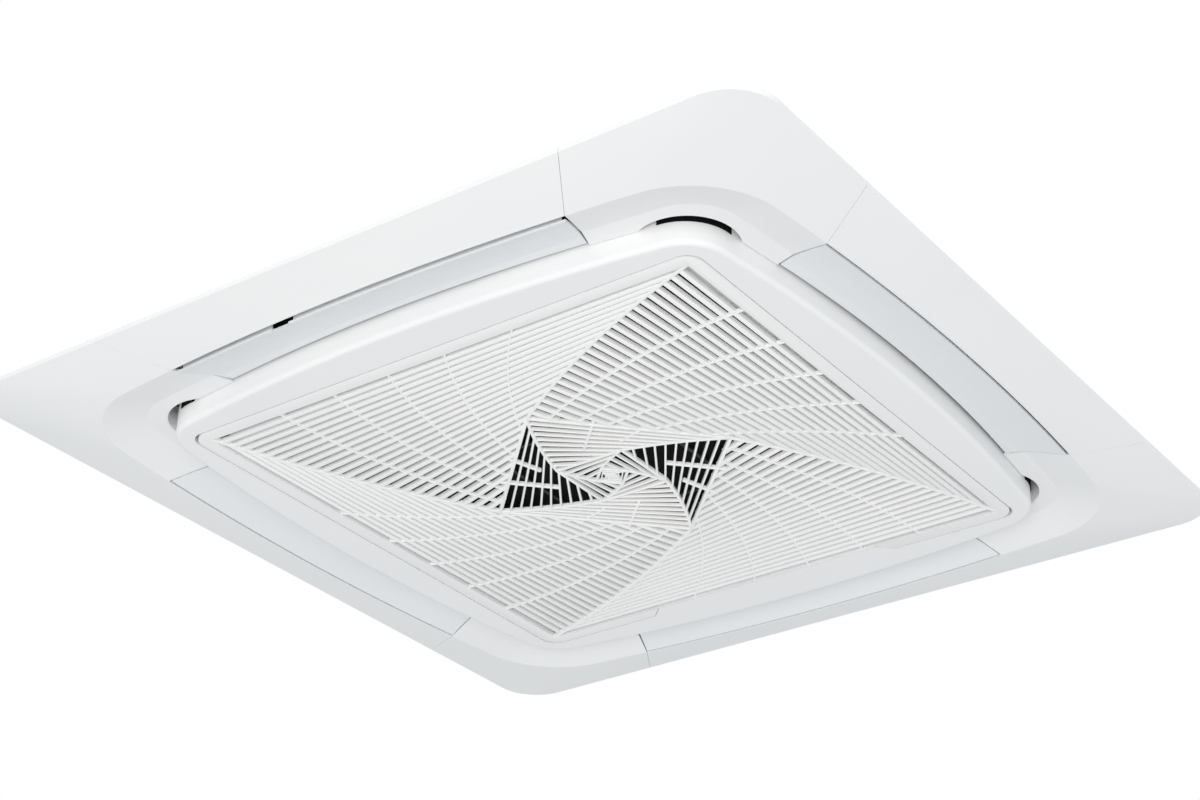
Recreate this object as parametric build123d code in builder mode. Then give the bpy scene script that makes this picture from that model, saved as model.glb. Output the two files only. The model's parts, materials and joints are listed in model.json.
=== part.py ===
from build123d import *
import os
from math import cos, radians, sin, sqrt

# Ceiling cassette air conditioner, in millimetres.
# Z = 0 is the underside of the ceiling: the decoration panel hangs below it, the unit stands above it.
# X and Y run along the panel's sides, and the origin is at the middle of the panel.
# The front side looks towards -Y, the right side +X, the back side +Y and the left side -X.
os.makedirs("parts", exist_ok=True)

SIDES = ("front", "right", "back", "left")
CORNERS = ("front_right", "back_right", "back_left", "front_left")

# ---- Fits between pieces ----
seat_gap = 0.3            # between pieces that are seated on each other
seam_gap = 0.4            # visible seam between the panel's mouldings
pin_clearance = 0.05      # radial, a pin turning in its hole

# ---- Decoration panel ----
panel_half = 475.0        # half the panel's width
panel_corner = 50.0       # radius of the panel's corners in plan
panel_edge = 5.0          # upright edge of the rim, below the ceiling
skin = 2.5                # wall of the panel's mouldings
bow_station = 240.0       # the bowed outlines are measured at mid side and this far from it
lip_mid = 419.0           # outer lip of the air outlets: half width at mid side
lip_end = 409.0           #   and at the bow station
lip_corner = 100.0        #   and its corner radius
lip_depth = 18.7          # the rim slopes down to this depth at the lip
cove_inset = 30.0         # the cove behind the lip rises through this point
cove_depth = 10.6
cove_top_inset = 45.0     # and ends flat here
cove_top_depth = 7.0
duct_top = 10.0           # the panel's duct walls reach up to here
duct_wall = 2.0
outlet_end = 243.0        # half length of an air outlet, to its end walls
end_wall = 3.0
end_wall_bottom = -4.0
end_wall_top = 14.0
deck_thickness = 2.5      # decks over the corner covers
deck_half = 465.0
deck_seam_half = 473.0    # beside the seams the decks reach the rim
deck_seam_end = 279.0
slot_centre = 292.1       # the corner outlets: an arc about this point in X and Y
slot_radius = 50.8

# ---- Centre frame of the panel ----
face_depth = 29.0         # lowest face of the panel
frame_mid = 355.0         # outer wall of the centre frame: half width at mid side
frame_end = 341.0         #   and at the bow station
frame_corner = 50.0
frame_round = 5.0         # rounding of its lower edge
grille_half = 309.9       # half the width of the intake grille
grille_corner = 16.0
grille_round = 2.0         # rounding of its lower edge
grille_gap = 1.5          # visible gap round the grille
recess_half = 144.0       # the finger recess on the back side: half its length
recess_depth = 16.0       #   and how far the grille's outline steps in
gasket_width = 18.0

# ---- Seams of the corner covers: distance from mid side, half width ----
seam_line = ((216.6, 330.0), (241.0, 409.0), (283.0, 476.0))

# ---- Air flaps ----
flap_gap = 3.0            # between a flap and the outlet's lip
flap_inner_mid = 359.5    # inner edge of a flap at mid side
flap_inner_end = 346.3    #   and at its end
flap_end_outer = 238.0    # half length of a flap at its outer edge
flap_end_inner = 219.0    #   and at its inner edge
flap_thickness = 2.6
hinge_side = 368.0        # flap pivots: half width
hinge_height = 0.0
flap_pin_radius = 2.5
flap_boss_radius = 4.0
flap_boss_end = 240.0
flap_ear = 3.0
notch_start = -104.0      # notch in the front flap's outer edge
notch_length = 22.0
notch_depth = 6.0
rest_angles = (4.0, 0.0, 0.0, 0.0)    # how far each side's flap stands open

# ---- Flap drives ----
drive_radius = 12.0
drive_length = 18.0
drive_offset = 8.0        # the output shaft lies this far below the middle of the gearbox
drive_ear_reach = 17.5
drive_ear = 1.2
shaft_socket = 7.0        # depth of the shaft in the flap and in the drive

# ---- Intake grille ----
pattern_half = 294.2      # half the width of the slatted field
border_depth = 10.0       # height of the grille's border
slat_recess = 0.5
slat_depth = 8.0
slat_width = 3.6
whirl_diagonals = (294.2 * sqrt(2), 148.0, 58.0, 20.0)    # half diagonals of the nested squares
whirl_slots = (25, 10, 4)     # slots in each blade between two squares
whirl_turn = -45.0        # each square is turned by this from the last
whirl_bulge = 0.034       # sagitta of a blade's edge over its length
fan_linear = 11.2         # a slat's angle to its blade's outer side grows with its place t: fan_linear * t
fan_square = 10.2         #   + fan_square * t * t, in degrees
edge_rib = 4.0
cross_rib = 2.2
rib_back = 2.0            # ribs stand this far above the slats
rib_recess = 0.3          # and the cross ribs end this far short of their lower faces
rib_starts = (0.16, 0.28, 0.40, 0.52, 0.66)    # where the cross ribs leave a blade's outer side
rib_ends = (0.10, 0.24, 0.38, 0.60, 0.86)      # and where they meet its inner side
rib_bend = 0.055          # their sagitta
grille_hinge_y = -297.8
grille_hinge_z = -24.4
grille_pin_radius = 1.5
grille_pin_x = 200.0
hinge_pocket = 16.0
hinge_lug = 10.0
hinge_lug_radius = 2.4
hinge_pocket_depth = 3.3
hinge_pocket_wall = 1.0    # left between the pocket and the slats
hinge_arm_bottom = -10.6   # the bracket's arm passes over the swing of the grille's edge
hinge_arm_top = -7.0
hinge_arm_inside = 2.2
bracket_plate = 3.0
filter_half = 285.0
filter_bottom = -18.5
filter_frame_height = 6.5

# ---- Unit above the ceiling ----
body_half = 420.0
body_bottom = 22.0
body_top = 268.0
body_corner = 700.0       # the corner panels lie where x + y is this
sheet = 1.2
bottom_flange = 12.0
corner_flange = 30.0
top_rim = 12.0
liner_wall = 9.0
liner_top = 8.0
pan_bottom = 23.5
pan_top = 62.0
pan_half = 407.0
pan_hole = 252.0
pan_outlet_inner = 352.0  # the pan steps in to here at the air outlets
pan_outlet_end = 235.0    # over this half length
trough_floor = 37.0
coil_outer = 345.0
coil_inner = 305.0
coil_bend = 125.0         # outer radius of the coil's bends
coil_bottom = 60.0
coil_top = 258.2
coil_end = 235.0          # the coil's two ends stop this far from mid side, at the back right corner
hanger_x = 390.0          # hanging points
hanger_y = 340.0
hanger_height = 130.0
hanger_slot_width = 12.0
hanger_slot_length = 26.0

# ---- Fan ----
inlet_radius = 205.0      # throat of the bell mouth
bell_radius = 240.0
bell_half = 290.0
fan_inlet_radius = 209.0
fan_radius = 245.0
fan_bottom = 56.0
fan_hub_height = 212.0
fan_cup_height = 165.0
fan_cup_radius = 62.0
fan_blades = 7
motor_radius = 56.0
motor_bottom = 192.0
motor_top = 256.0
motor_shaft_radius = 4.0


def write(part, name, turn=0):
    """Names a piece, turns it about the middle of the panel and writes it."""
    turned = Rot(0, 0, turn) * part
    turned.label = name
    export_step(turned, f"parts/{name}.step")


def bowed_square(mid, end, radius):
    """A square with bowed sides and round corners."""
    centre = mid - radius
    start = (centre, -mid)
    if mid > end:
        bow = (bow_station**2 + (mid - end) ** 2) / (2 * (mid - end))
        back = bow - mid
        reach = bow - radius
        centre = (sqrt(2 * reach**2 - back**2) - back) / 2
        start = (bow * centre / reach, back - bow * (back + centre) / reach)
    peak = centre + radius / sqrt(2)
    with BuildSketch() as square:
        with BuildLine():
            for turn in (0, 90, 180, 270):
                left = Vector(-start[0], start[1]).rotate(Axis.Z, turn)
                right = Vector(start[0], start[1]).rotate(Axis.Z, turn)
                following = Vector(-start[0], start[1]).rotate(Axis.Z, turn + 90)
                if mid > end:
                    ThreePointArc(left, Vector(0, -mid).rotate(Axis.Z, turn), right)
                else:
                    Line(left, right)
                ThreePointArc(right, Vector(peak, -peak).rotate(Axis.Z, turn), following)
        make_face()
    return square.sketch


def lip_square(inset):
    return bowed_square(lip_mid - inset, lip_end - inset, lip_corner - inset)


def frame_square(inset):
    return bowed_square(frame_mid - inset, frame_end - inset, frame_corner - inset)


def rim_square(inset):
    return bowed_square(panel_half - inset, panel_half - inset, panel_corner - inset)


def grille_square(inset, recess):
    """Outline of the grille shrunk by inset, stepped in by recess at the finger recess."""
    half = grille_half - inset
    step = half - recess
    wide = recess_half + recess - inset * 0.4
    narrow = recess_half - inset * 0.4
    with BuildSketch() as square:
        RectangleRounded(2 * half, 2 * half, grille_corner - inset)
        with BuildLine():
            Polyline((-wide - 1, half + 1), (-narrow, step), (narrow, step), (wide + 1, half + 1), close=True)
        make_face(mode=Mode.SUBTRACT)
    return square.sketch


def moulded_shape(lift, inset):
    """Solid above the visible surface of the rim and cove; lift and inset give the inside of the skin."""
    with BuildPart() as shape:
        with BuildSketch(Plane.XY.offset(lift - panel_edge)):
            add(rim_square(inset))
        extrude(amount=panel_edge - lift)
        with BuildSketch(Plane.XY.offset(lift - panel_edge)):
            add(rim_square(inset))
        with BuildSketch(Plane.XY.offset(lift - lip_depth)):
            add(lip_square(0))
        loft(ruled=True)
        with BuildSketch(Plane.XY.offset(lift - lip_depth)):
            add(lip_square(0))
        with BuildSketch(Plane.XY.offset(lift - cove_depth)):
            add(lip_square(cove_inset))
        with BuildSketch(Plane.XY.offset(lift - cove_top_depth)):
            add(lip_square(cove_top_inset))
        loft(ruled=True, mode=Mode.SUBTRACT)
    return shape.part


def corner_plan(gap):
    """Plan of the front right corner cover, grown by gap at its seams."""
    front = [(x - gap, -y) for x, y in seam_line]
    right = [(y, gap - x) for x, y in reversed(seam_line)]
    with BuildSketch() as plan:
        with BuildLine():
            Polyline(*front, (500, -500), *right, close=True)
        make_face()
    return plan.sketch


moulding = moulded_shape(0, 0) - moulded_shape(skin, skin)

# ---- Corner covers ----
with BuildPart() as corner_cover:
    add(moulding)
    with BuildSketch(Plane.XY.offset(-face_depth)):
        add(corner_plan(0))
    extrude(amount=face_depth + 5, mode=Mode.INTERSECT)
    with BuildSketch(Plane.XY.offset(-face_depth)):
        add(frame_square(-0.5))
        with Locations((slot_centre, -slot_centre)):
            Circle(slot_radius)
    extrude(amount=face_depth, mode=Mode.SUBTRACT)
for index, corner in enumerate(CORNERS):
    write(corner_cover.part, f"corner_cover_{corner}", 90 * index)

# ---- Panel frame: side rims, air outlets, decks and centre frame ----
flap_bore = flap_pin_radius + pin_clearance
screw_spot = 345.0
screw_radius = 2.5
boss_radius = 7.0


def side_rims():
    with BuildPart() as rims:
        add(moulding)
        with BuildSketch(Plane.XY.offset(-face_depth)):
            add(lip_square(0))
        extrude(amount=face_depth, mode=Mode.SUBTRACT)
        with BuildSketch(Plane.XY.offset(-face_depth)) as plan:
            with PolarLocations(0, 4):
                add(corner_plan(seam_gap))
        extrude(amount=face_depth + 5, mode=Mode.SUBTRACT)
    return rims.part


def outlet_walls():
    """Lip wall, top flange and end walls of the front outlet."""
    with BuildPart() as walls:
        with BuildSketch(Plane.XY.offset(-lip_depth)):
            add(lip_square(-duct_wall))
            add(lip_square(0), mode=Mode.SUBTRACT)
            with Locations((0, -lip_mid)):
                Rectangle(2 * flap_boss_end, 60, mode=Mode.INTERSECT)
        extrude(amount=lip_depth + duct_top)
        with BuildSketch(Plane.XY.offset(duct_top - skin)):
            with Locations((0, -(lip_end + lip_mid) / 2 - 1)):
                Rectangle(2 * (outlet_end + end_wall), lip_mid - lip_end + duct_wall)
        extrude(amount=skin)
        with BuildSketch(Plane.XY.offset(end_wall_bottom)):
            with Locations((outlet_end + end_wall / 2, -376), (-outlet_end - end_wall / 2, -376)):
                Rectangle(end_wall, 74)
        extrude(amount=end_wall_top - end_wall_bottom)
    return walls.part


def corner_decks():
    with BuildPart() as decks:
        with BuildSketch(Plane.XY.offset(-deck_thickness)):
            RectangleRounded(2 * deck_half, 2 * deck_half, panel_corner)
            Rectangle(2 * deck_seam_end, 2 * deck_seam_half)
            Rectangle(2 * deck_seam_half, 2 * deck_seam_end)
            Rectangle(2 * outlet_end + 2, 960, mode=Mode.SUBTRACT)
            Rectangle(960, 2 * outlet_end + 2, mode=Mode.SUBTRACT)
        extrude(amount=deck_thickness)
        with BuildSketch(Plane.XY.offset(-deck_thickness)):
            with GridLocations(2 * screw_spot, 2 * screw_spot, 2, 2):
                Circle(boss_radius)
        extrude(amount=body_bottom - seat_gap + deck_thickness)
        with BuildSketch(Plane.XY.offset(-deck_thickness)):
            with GridLocations(2 * slot_centre, 2 * slot_centre, 2, 2):
                Circle(slot_radius)
            with PolarLocations(0, 4):
                with Locations((outlet_end + end_wall + 11, -hinge_side)):
                    Rectangle(22, 38)
        extrude(amount=deck_thickness, mode=Mode.SUBTRACT)
        with BuildSketch(Plane.XY.offset(-deck_thickness)):
            with GridLocations(2 * screw_spot, 2 * screw_spot, 2, 2):
                Circle(screw_radius + 0.3)
        extrude(amount=40, mode=Mode.SUBTRACT)
        with BuildSketch(Plane.XY.offset(-deck_thickness)):
            with GridLocations(2 * screw_spot, 2 * screw_spot, 2, 2):
                Circle(5.5)
        extrude(amount=2, mode=Mode.SUBTRACT)
    return decks.part


def centre_frame():
    """Box ring round the grille, open at the top behind the gasket flange."""
    with BuildPart() as frame:
        with BuildSketch(Plane.XY.offset(-face_depth)):
            add(frame_square(0))
        extrude(amount=face_depth + duct_top)
        fillet(frame.faces().sort_by(Axis.Z)[0].outer_wire().edges(), frame_round)
        with BuildSketch(Plane.XY.offset(skin - face_depth)):
            add(frame_square(duct_wall))
        extrude(amount=face_depth + duct_top - 2 * skin, mode=Mode.SUBTRACT)
        with BuildSketch(Plane.XY.offset(duct_top - skin)):
            add(frame_square(gasket_width + 4))
        extrude(amount=skin, mode=Mode.SUBTRACT)
        with BuildSketch(Plane.XY.offset(-face_depth)):
            add(grille_square(-grille_gap - duct_wall, recess_depth))
        extrude(amount=face_depth + duct_top - skin)
        with BuildSketch(Plane.XY.offset(-face_depth)):
            add(grille_square(-grille_gap, recess_depth))
        extrude(amount=face_depth + duct_top, mode=Mode.SUBTRACT)
    return frame.part


with BuildPart() as panel_frame:
    add(corner_decks())
    add(side_rims())
    with PolarLocations(0, 4):
        add(outlet_walls())
    with BuildSketch(Plane.XY.offset(-face_depth)):
        add(frame_square(1))
    extrude(amount=face_depth + duct_top + 5, mode=Mode.SUBTRACT)
    add(centre_frame())
    for turn in (0, 90, 180, 270):
        with BuildSketch(Plane.YZ.rotated((0, 0, turn)).offset(-outlet_end - end_wall)):
            with Locations((-hinge_side, hinge_height)):
                Circle(flap_bore)
        extrude(amount=2 * (outlet_end + end_wall), mode=Mode.SUBTRACT)
write(panel_frame.part, "panel_frame")

# ---- Air flaps ----
lip_bow = (bow_station**2 + (lip_mid - lip_end) ** 2) / (2 * (lip_mid - lip_end))
bow_centre = lip_bow - lip_mid


def air_flap(notched):
    """Front flap, closed: a bowed strip with a pivot ear near each end."""
    far = bow_centre + bow_centre
    with BuildPart() as flap:
        with BuildSketch(Plane.YZ):
            with BuildLine():
                lower = ThreePointArc((far + lip_mid - flap_gap, -lip_depth),
                                      (far + lip_mid - cove_inset, -cove_depth),
                                      (far + hinge_side, -cove_top_depth))
                Line(lower @ 1, (far + 345, -cove_top_depth + 0.6))
                Line((far + 345, -cove_top_depth + 0.6), (far + 345, flap_thickness - cove_top_depth + 0.6))
                Line((far + 345, flap_thickness - cove_top_depth + 0.6),
                     (far + hinge_side, flap_thickness - cove_top_depth))
                ThreePointArc((far + hinge_side, flap_thickness - cove_top_depth),
                              (far + lip_mid - cove_inset, flap_thickness - cove_depth),
                              (far + lip_mid - flap_gap, flap_thickness - lip_depth))
                Line((far + lip_mid - flap_gap, flap_thickness - lip_depth), lower @ 0)
            make_face()
        revolve(axis=Axis((0, bow_centre, 0), (0, 0, 1)))
        with BuildSketch(Plane.XY.offset(-face_depth)):
            with BuildLine():
                Polyline((-flap_end_inner, -flap_inner_end), (-flap_end_outer - 5, -lip_mid - 1),
                         (flap_end_outer + 5, -lip_mid - 1), (flap_end_inner, -flap_inner_end))
                ThreePointArc((flap_end_inner, -flap_inner_end), (0, -flap_inner_mid),
                              (-flap_end_inner, -flap_inner_end))
            make_face()
        extrude(amount=face_depth, mode=Mode.INTERSECT)
        for end in (-1, 1):
            with BuildSketch(Plane.YZ.offset(end * (flap_end_inner - 2) - flap_ear / 2)):
                with Locations((-hinge_side, hinge_height)):
                    Circle(flap_boss_radius)
                with BuildLine():
                    Polyline((-hinge_side - 4, 0), (-hinge_side + 4, 0), (-hinge_side + 9, -5.2),
                             (-hinge_side - 9, -5.2), close=True)
                make_face()
            extrude(amount=flap_ear)
            with BuildSketch(Plane.YZ.offset(end * (flap_end_inner - 2))):
                with Locations((-hinge_side, hinge_height)):
                    Circle(flap_boss_radius)
            extrude(amount=end * (flap_boss_end - flap_end_inner + 2))
        with BuildSketch(Plane.YZ.offset(-flap_boss_end + 3)):
            with Locations((-hinge_side, hinge_height)):
                Circle(flap_pin_radius)
        extrude(amount=-(end_wall + 5.5))
        with BuildSketch(Plane.YZ.offset(flap_boss_end - shaft_socket)):
            with Locations((-hinge_side, hinge_height)):
                Circle(flap_pin_radius + pin_clearance)
        extrude(amount=shaft_socket + 1, mode=Mode.SUBTRACT)
        if notched:
            with BuildSketch(Plane.XY.offset(-face_depth)):
                with Locations((notch_start + notch_length / 2, -lip_mid + flap_gap)):
                    Rectangle(notch_length, 2 * notch_depth)
            extrude(amount=face_depth, mode=Mode.SUBTRACT)
    return flap.part


with BuildPart() as flap_shaft:
    with BuildSketch(Plane.YZ.offset(flap_boss_end - shaft_socket + seat_gap)):
        with Locations((-hinge_side, hinge_height)):
            Circle(flap_pin_radius)
    extrude(amount=2 * shaft_socket + end_wall + 2.4)

drive_face = outlet_end + end_wall + seat_gap
with BuildPart() as flap_motor:
    with BuildSketch(Plane.YZ.offset(drive_face)):
        with Locations((-hinge_side, hinge_height + drive_offset)):
            Circle(drive_radius)
    extrude(amount=drive_length)
    with BuildSketch(Plane.YZ.offset(drive_face)):
        with Locations((-hinge_side, hinge_height + drive_offset)):
            SlotCenterToCenter(2 * (drive_ear_reach - 3.5), 7)
    extrude(amount=drive_ear)
    with Locations((drive_face + drive_length - 4, -hinge_side, hinge_height + drive_offset + drive_radius - 1.5)):
        Box(7, 15, 3)
    with BuildSketch(Plane.YZ.offset(drive_face)):
        with Locations((-hinge_side, hinge_height)):
            Circle(flap_pin_radius + pin_clearance)
    extrude(amount=shaft_socket + 4, mode=Mode.SUBTRACT)

hinge_axis = Axis((0, -hinge_side, hinge_height), (1, 0, 0))
for index, side in enumerate(SIDES):
    opened = air_flap(index == 0).rotate(hinge_axis, rest_angles[index])
    write(opened, f"air_flap_{side}", 90 * index)
    write(flap_shaft.part, f"flap_shaft_{side}", 90 * index)
    write(flap_motor.part, f"flap_motor_{side}", 90 * index)

# ---- Intake grille ----


def spiral_arc(reach, inner):
    """Centre and radius of the blade edge from (reach, -reach) to (0, -inner)."""
    start = Vector(reach, -reach)
    end = Vector(0, -inner)
    chord = end - start
    sagitta = whirl_bulge * chord.length
    radius = (chord.length**2 / 4 + sagitta**2) / (2 * sagitta)
    outward = Vector(-chord.Y, chord.X).normalized()
    if outward.Y > 0:
        outward = outward * -1
    return (start + end) * 0.5 + outward * (sagitta - radius), radius


def meet_arc(point, heading, centre, radius, last):
    """Where a line meets a circle, at its first or last meeting."""
    offset = point - centre
    along = offset.dot(heading)
    root = sqrt(max(along**2 - offset.dot(offset) + radius**2, 0))
    return point + heading * (-along + (root if last else -root))


def slat_line(place, reach, inner, shift):
    """Start and end of a slat edge: place runs from 0 at the blade's outer side to 1 at its tip."""
    centre, radius = spiral_arc(reach, inner)
    left_centre = Vector(centre.Y, -centre.X)
    angle = radians(fan_linear * place + fan_square * place**2)
    heading = Vector(cos(angle), -sin(angle))
    side = Vector(sin(angle), cos(angle))
    level = -reach * (1 - place)
    foot = meet_arc(Vector(-2 * reach, level), Vector(1, 0), left_centre, radius, False)
    base = foot + side * shift
    start = meet_arc(base, heading, left_centre, radius - edge_rib / 2, False)
    end = meet_arc(base, heading, centre, radius + edge_rib / 2, False)
    tip = inner + edge_rib / sqrt(2)
    run = (-tip - base.X + base.Y * -1) / (heading.X + heading.Y) if heading.X + heading.Y else 0
    inside = base + heading * run
    if end.X < 0 or end.Y > -inner or inside.X < 0:
        end = inside
    return start, end


def blade_slots(level):
    """Corner points of the slots of one blade, its outer side towards -Y."""
    reach = whirl_diagonals[level] / sqrt(2)
    inner = whirl_diagonals[level + 1]
    count = whirl_slots[level]
    slots = []
    for index in range(count):
        first = slat_line(index / count, reach, inner, 0 if index == 0 and level == 0 else slat_width / 2)
        second = slat_line((index + 1) / count, reach, inner, -slat_width / 2)
        if (first[1] - first[0]).X > 4 and (second[1] - second[0]).X > 1:
            slots.append((first[0], first[1], second[1], second[0]))
    return slots


slots = []
for level in range(len(whirl_slots)):
    for quarter in (0, 90, 180, 270):
        for corners in blade_slots(level):
            turned_corners = [corner.rotate(Axis.Z, quarter + whirl_turn * level) for corner in corners]
            slots.append(Polygon(*[(corner.X, corner.Y) for corner in turned_corners], align=None))

with BuildSketch() as slatted_field:
    Rectangle(2 * pattern_half + 1, 2 * pattern_half + 1)
    add(slots, mode=Mode.SUBTRACT)

with BuildPart() as intake_grille:
    with BuildSketch(Plane.XY.offset(-face_depth)):
        add(grille_square(0, recess_depth))
        Rectangle(2 * pattern_half, 2 * pattern_half, mode=Mode.SUBTRACT)
        with Locations((0, pattern_half - 2)):
            Rectangle(2 * recess_half + 40, 4)
    extrude(amount=border_depth)
    fillet(intake_grille.faces().sort_by(Axis.Z)[0].outer_wire().edges(), grille_round)
    with BuildSketch(Plane.XY.offset(slat_recess - face_depth)):
        add(slatted_field.sketch)
    extrude(amount=slat_depth)
    with BuildSketch(Plane.XY.offset(slat_recess + slat_depth - face_depth)):
        for quarter in (0, 90, 180, 270):
            with BuildLine():
                centre, radius = spiral_arc(pattern_half, whirl_diagonals[1])
                chord_middle = Vector(pattern_half, -pattern_half - whirl_diagonals[1]) * 0.5
                top = centre + (chord_middle - centre).normalized() * radius
                ThreePointArc(*[point.rotate(Axis.Z, quarter) for point in
                                (Vector(pattern_half, -pattern_half), top, Vector(0, -whirl_diagonals[1]))])
                Line(Vector(0, -whirl_diagonals[1]).rotate(Axis.Z, quarter),
                     Vector(whirl_diagonals[1], 0).rotate(Axis.Z, quarter))
            trace(line_width=edge_rib)
    extrude(amount=rib_back - 0.3)
    with BuildSketch(Plane.XY.offset(slat_recess - face_depth + rib_recess)):
        for quarter in (0, 90, 180, 270):
            for start, end in zip(rib_starts, rib_ends):
                first = Vector(-pattern_half + 2 * pattern_half * start, -pattern_half)
                last = Vector(-whirl_diagonals[1] * (1 - end), -whirl_diagonals[1] * end)
                chord = last - first
                middle = (first + last) * 0.5 + Vector(-abs(chord.Y), -abs(chord.X) * 0.3) * rib_bend
                with BuildLine():
                    ThreePointArc(*[point.rotate(Axis.Z, quarter) for point in (first, middle, last)])
                trace(line_width=cross_rib)
    extrude(amount=slat_depth + rib_back - 2 * rib_recess)
    with BuildSketch(Plane.XY.offset(grille_hinge_z - hinge_pocket_depth)):
        for end in (-1, 1):
            with Locations((end * grille_pin_x, -(grille_half + pattern_half + hinge_pocket_wall + 1) / 2)):
                Rectangle(hinge_pocket, grille_half - pattern_half - hinge_pocket_wall + 1)
    extrude(amount=20, mode=Mode.SUBTRACT)
    for end in (-1, 1):
        with BuildSketch(Plane.YZ.offset(end * grille_pin_x - hinge_pocket)):
            with Locations((grille_hinge_y, grille_hinge_z)):
                Circle(grille_pin_radius + pin_clearance)
        extrude(amount=2 * hinge_pocket, mode=Mode.SUBTRACT)
write(intake_grille.part, "intake_grille")

with BuildPart() as grille_hinge_pins:
    for end in (-1, 1):
        with BuildSketch(Plane.YZ.offset(end * grille_pin_x - hinge_pocket + seat_gap)):
            with Locations((grille_hinge_y, grille_hinge_z)):
                Circle(grille_pin_radius)
        extrude(amount=2 * (hinge_pocket - seat_gap))
write(grille_hinge_pins.part, "grille_hinge_pins")

bracket_back = seat_gap - grille_half - grille_gap
with BuildPart() as grille_hinge_brackets:
    for end in (-1, 1):
        with BuildSketch(Plane.YZ.offset(end * grille_pin_x - hinge_lug / 2)):
            with Locations((grille_hinge_y, grille_hinge_z)):
                Circle(hinge_lug_radius)
            with BuildLine():
                Polyline((grille_hinge_y - hinge_lug_radius, grille_hinge_z),
                         (grille_hinge_y + hinge_arm_inside, grille_hinge_z),
                         (grille_hinge_y + hinge_arm_inside, hinge_arm_top),
                         (bracket_back + bracket_plate, hinge_arm_top), (bracket_back + bracket_plate, 0),
                         (bracket_back, 0), (bracket_back, hinge_arm_bottom),
                         (grille_hinge_y - hinge_lug_radius, hinge_arm_bottom), close=True)
            make_face()
        extrude(amount=hinge_lug)
        with BuildSketch(Plane.YZ.offset(end * grille_pin_x - hinge_lug)):
            with Locations((grille_hinge_y, grille_hinge_z)):
                Circle(grille_pin_radius + pin_clearance)
        extrude(amount=2 * hinge_lug, mode=Mode.SUBTRACT)
write(grille_hinge_brackets.part, "grille_hinge_brackets")

catch_bottom = border_depth - face_depth + seat_gap
with BuildPart() as grille_catches:
    with Locations((-220, 304, catch_bottom + 2.5), (220, 304, catch_bottom + 2.5)):
        Box(14, 9, 5)
    with Locations((-220, 309, catch_bottom + 3), (220, 309, catch_bottom + 3)):
        Box(8, 3.8, 3)
write(grille_catches.part, "grille_catches")

filter_bar = 10.0
filter_bay = 90.0
with BuildPart() as filter_frame:
    with BuildSketch(Plane.XY.offset(filter_bottom)):
        RectangleRounded(2 * filter_half, 2 * filter_half, 6)
        Rectangle(2 * (filter_half - filter_bar), 2 * (filter_half - filter_bar), mode=Mode.SUBTRACT)
    extrude(amount=filter_frame_height)
    with BuildSketch(Plane.XY.offset(filter_bottom)):
        with Locations((-filter_bay, 0), (filter_bay, 0)):
            Rectangle(4, 2 * filter_half - filter_bar)
        with Locations((0, -filter_bay), (0, filter_bay)):
            Rectangle(2 * filter_half - filter_bar, 4)
    extrude(amount=2.7)
write(filter_frame.part, "filter_frame")

with BuildPart() as filter_net:
    with BuildSketch(Plane.XY.offset(filter_bottom + 3)):
        net_half = filter_half - filter_bar - seat_gap
        Rectangle(2 * net_half, 2 * net_half)
    extrude(amount=0.4)
write(filter_net.part, "filter_net")

# ---- Gaskets and screws between the panel and the unit ----
with BuildPart() as inner_duct_gasket:
    with BuildSketch(Plane.XY.offset(duct_top)):
        add(frame_square(1))
        add(frame_square(gasket_width + 1), mode=Mode.SUBTRACT)
    extrude(amount=pan_bottom - duct_top)
write(inner_duct_gasket.part, "inner_duct_gasket")

with BuildPart() as outer_duct_gasket:
    with BuildSketch(Plane.XY.offset(duct_top)):
        with PolarLocations(0, 4):
            with Locations((0, -lip_mid + 4)):
                Rectangle(2 * outlet_end - 2, 8)
    extrude(amount=body_bottom - duct_top)
write(outer_duct_gasket.part, "outer_duct_gasket")

with BuildPart() as panel_screws:
    with BuildSketch(Plane.XY.offset(-0.8 - 3.5)):
        with GridLocations(2 * screw_spot, 2 * screw_spot, 2, 2):
            Circle(5)
    extrude(amount=3.5)
    with BuildSketch(Plane.XY.offset(-0.8)):
        with GridLocations(2 * screw_spot, 2 * screw_spot, 2, 2):
            Circle(screw_radius)
    extrude(amount=28)
write(panel_screws.part, "panel_screws")

# ---- Casing of the unit ----
side_end = body_corner - body_half - 1
corner_reach = body_corner / sqrt(2)      # distance of the corner panels' outer faces from the middle
corner_width = 2 * (body_half * sqrt(2) - corner_reach) - 1.6
tab_face = body_half - sheet - seat_gap


def octagon(inset):
    """Plan of the unit, a square with cut corners, shrunk by inset."""
    half = body_half - inset
    cut = body_corner - inset * sqrt(2) - half
    corners = [(half, -cut), (half, cut), (cut, half), (-cut, half), (-half, cut), (-half, -cut), (-cut, -half),
               (cut, -half)]
    return Polygon(*corners, align=None)


with BuildPart() as top_plate:
    with BuildSketch(Plane.XY.offset(body_top - top_rim)):
        add(octagon(-seat_gap - sheet))
        add(octagon(-seat_gap), mode=Mode.SUBTRACT)
    extrude(amount=top_rim)
    with BuildSketch(Plane.XY.offset(body_top - sheet)):
        add(octagon(-seat_gap - sheet))
    extrude(amount=sheet)
write(top_plate.part, "top_plate")

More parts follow.
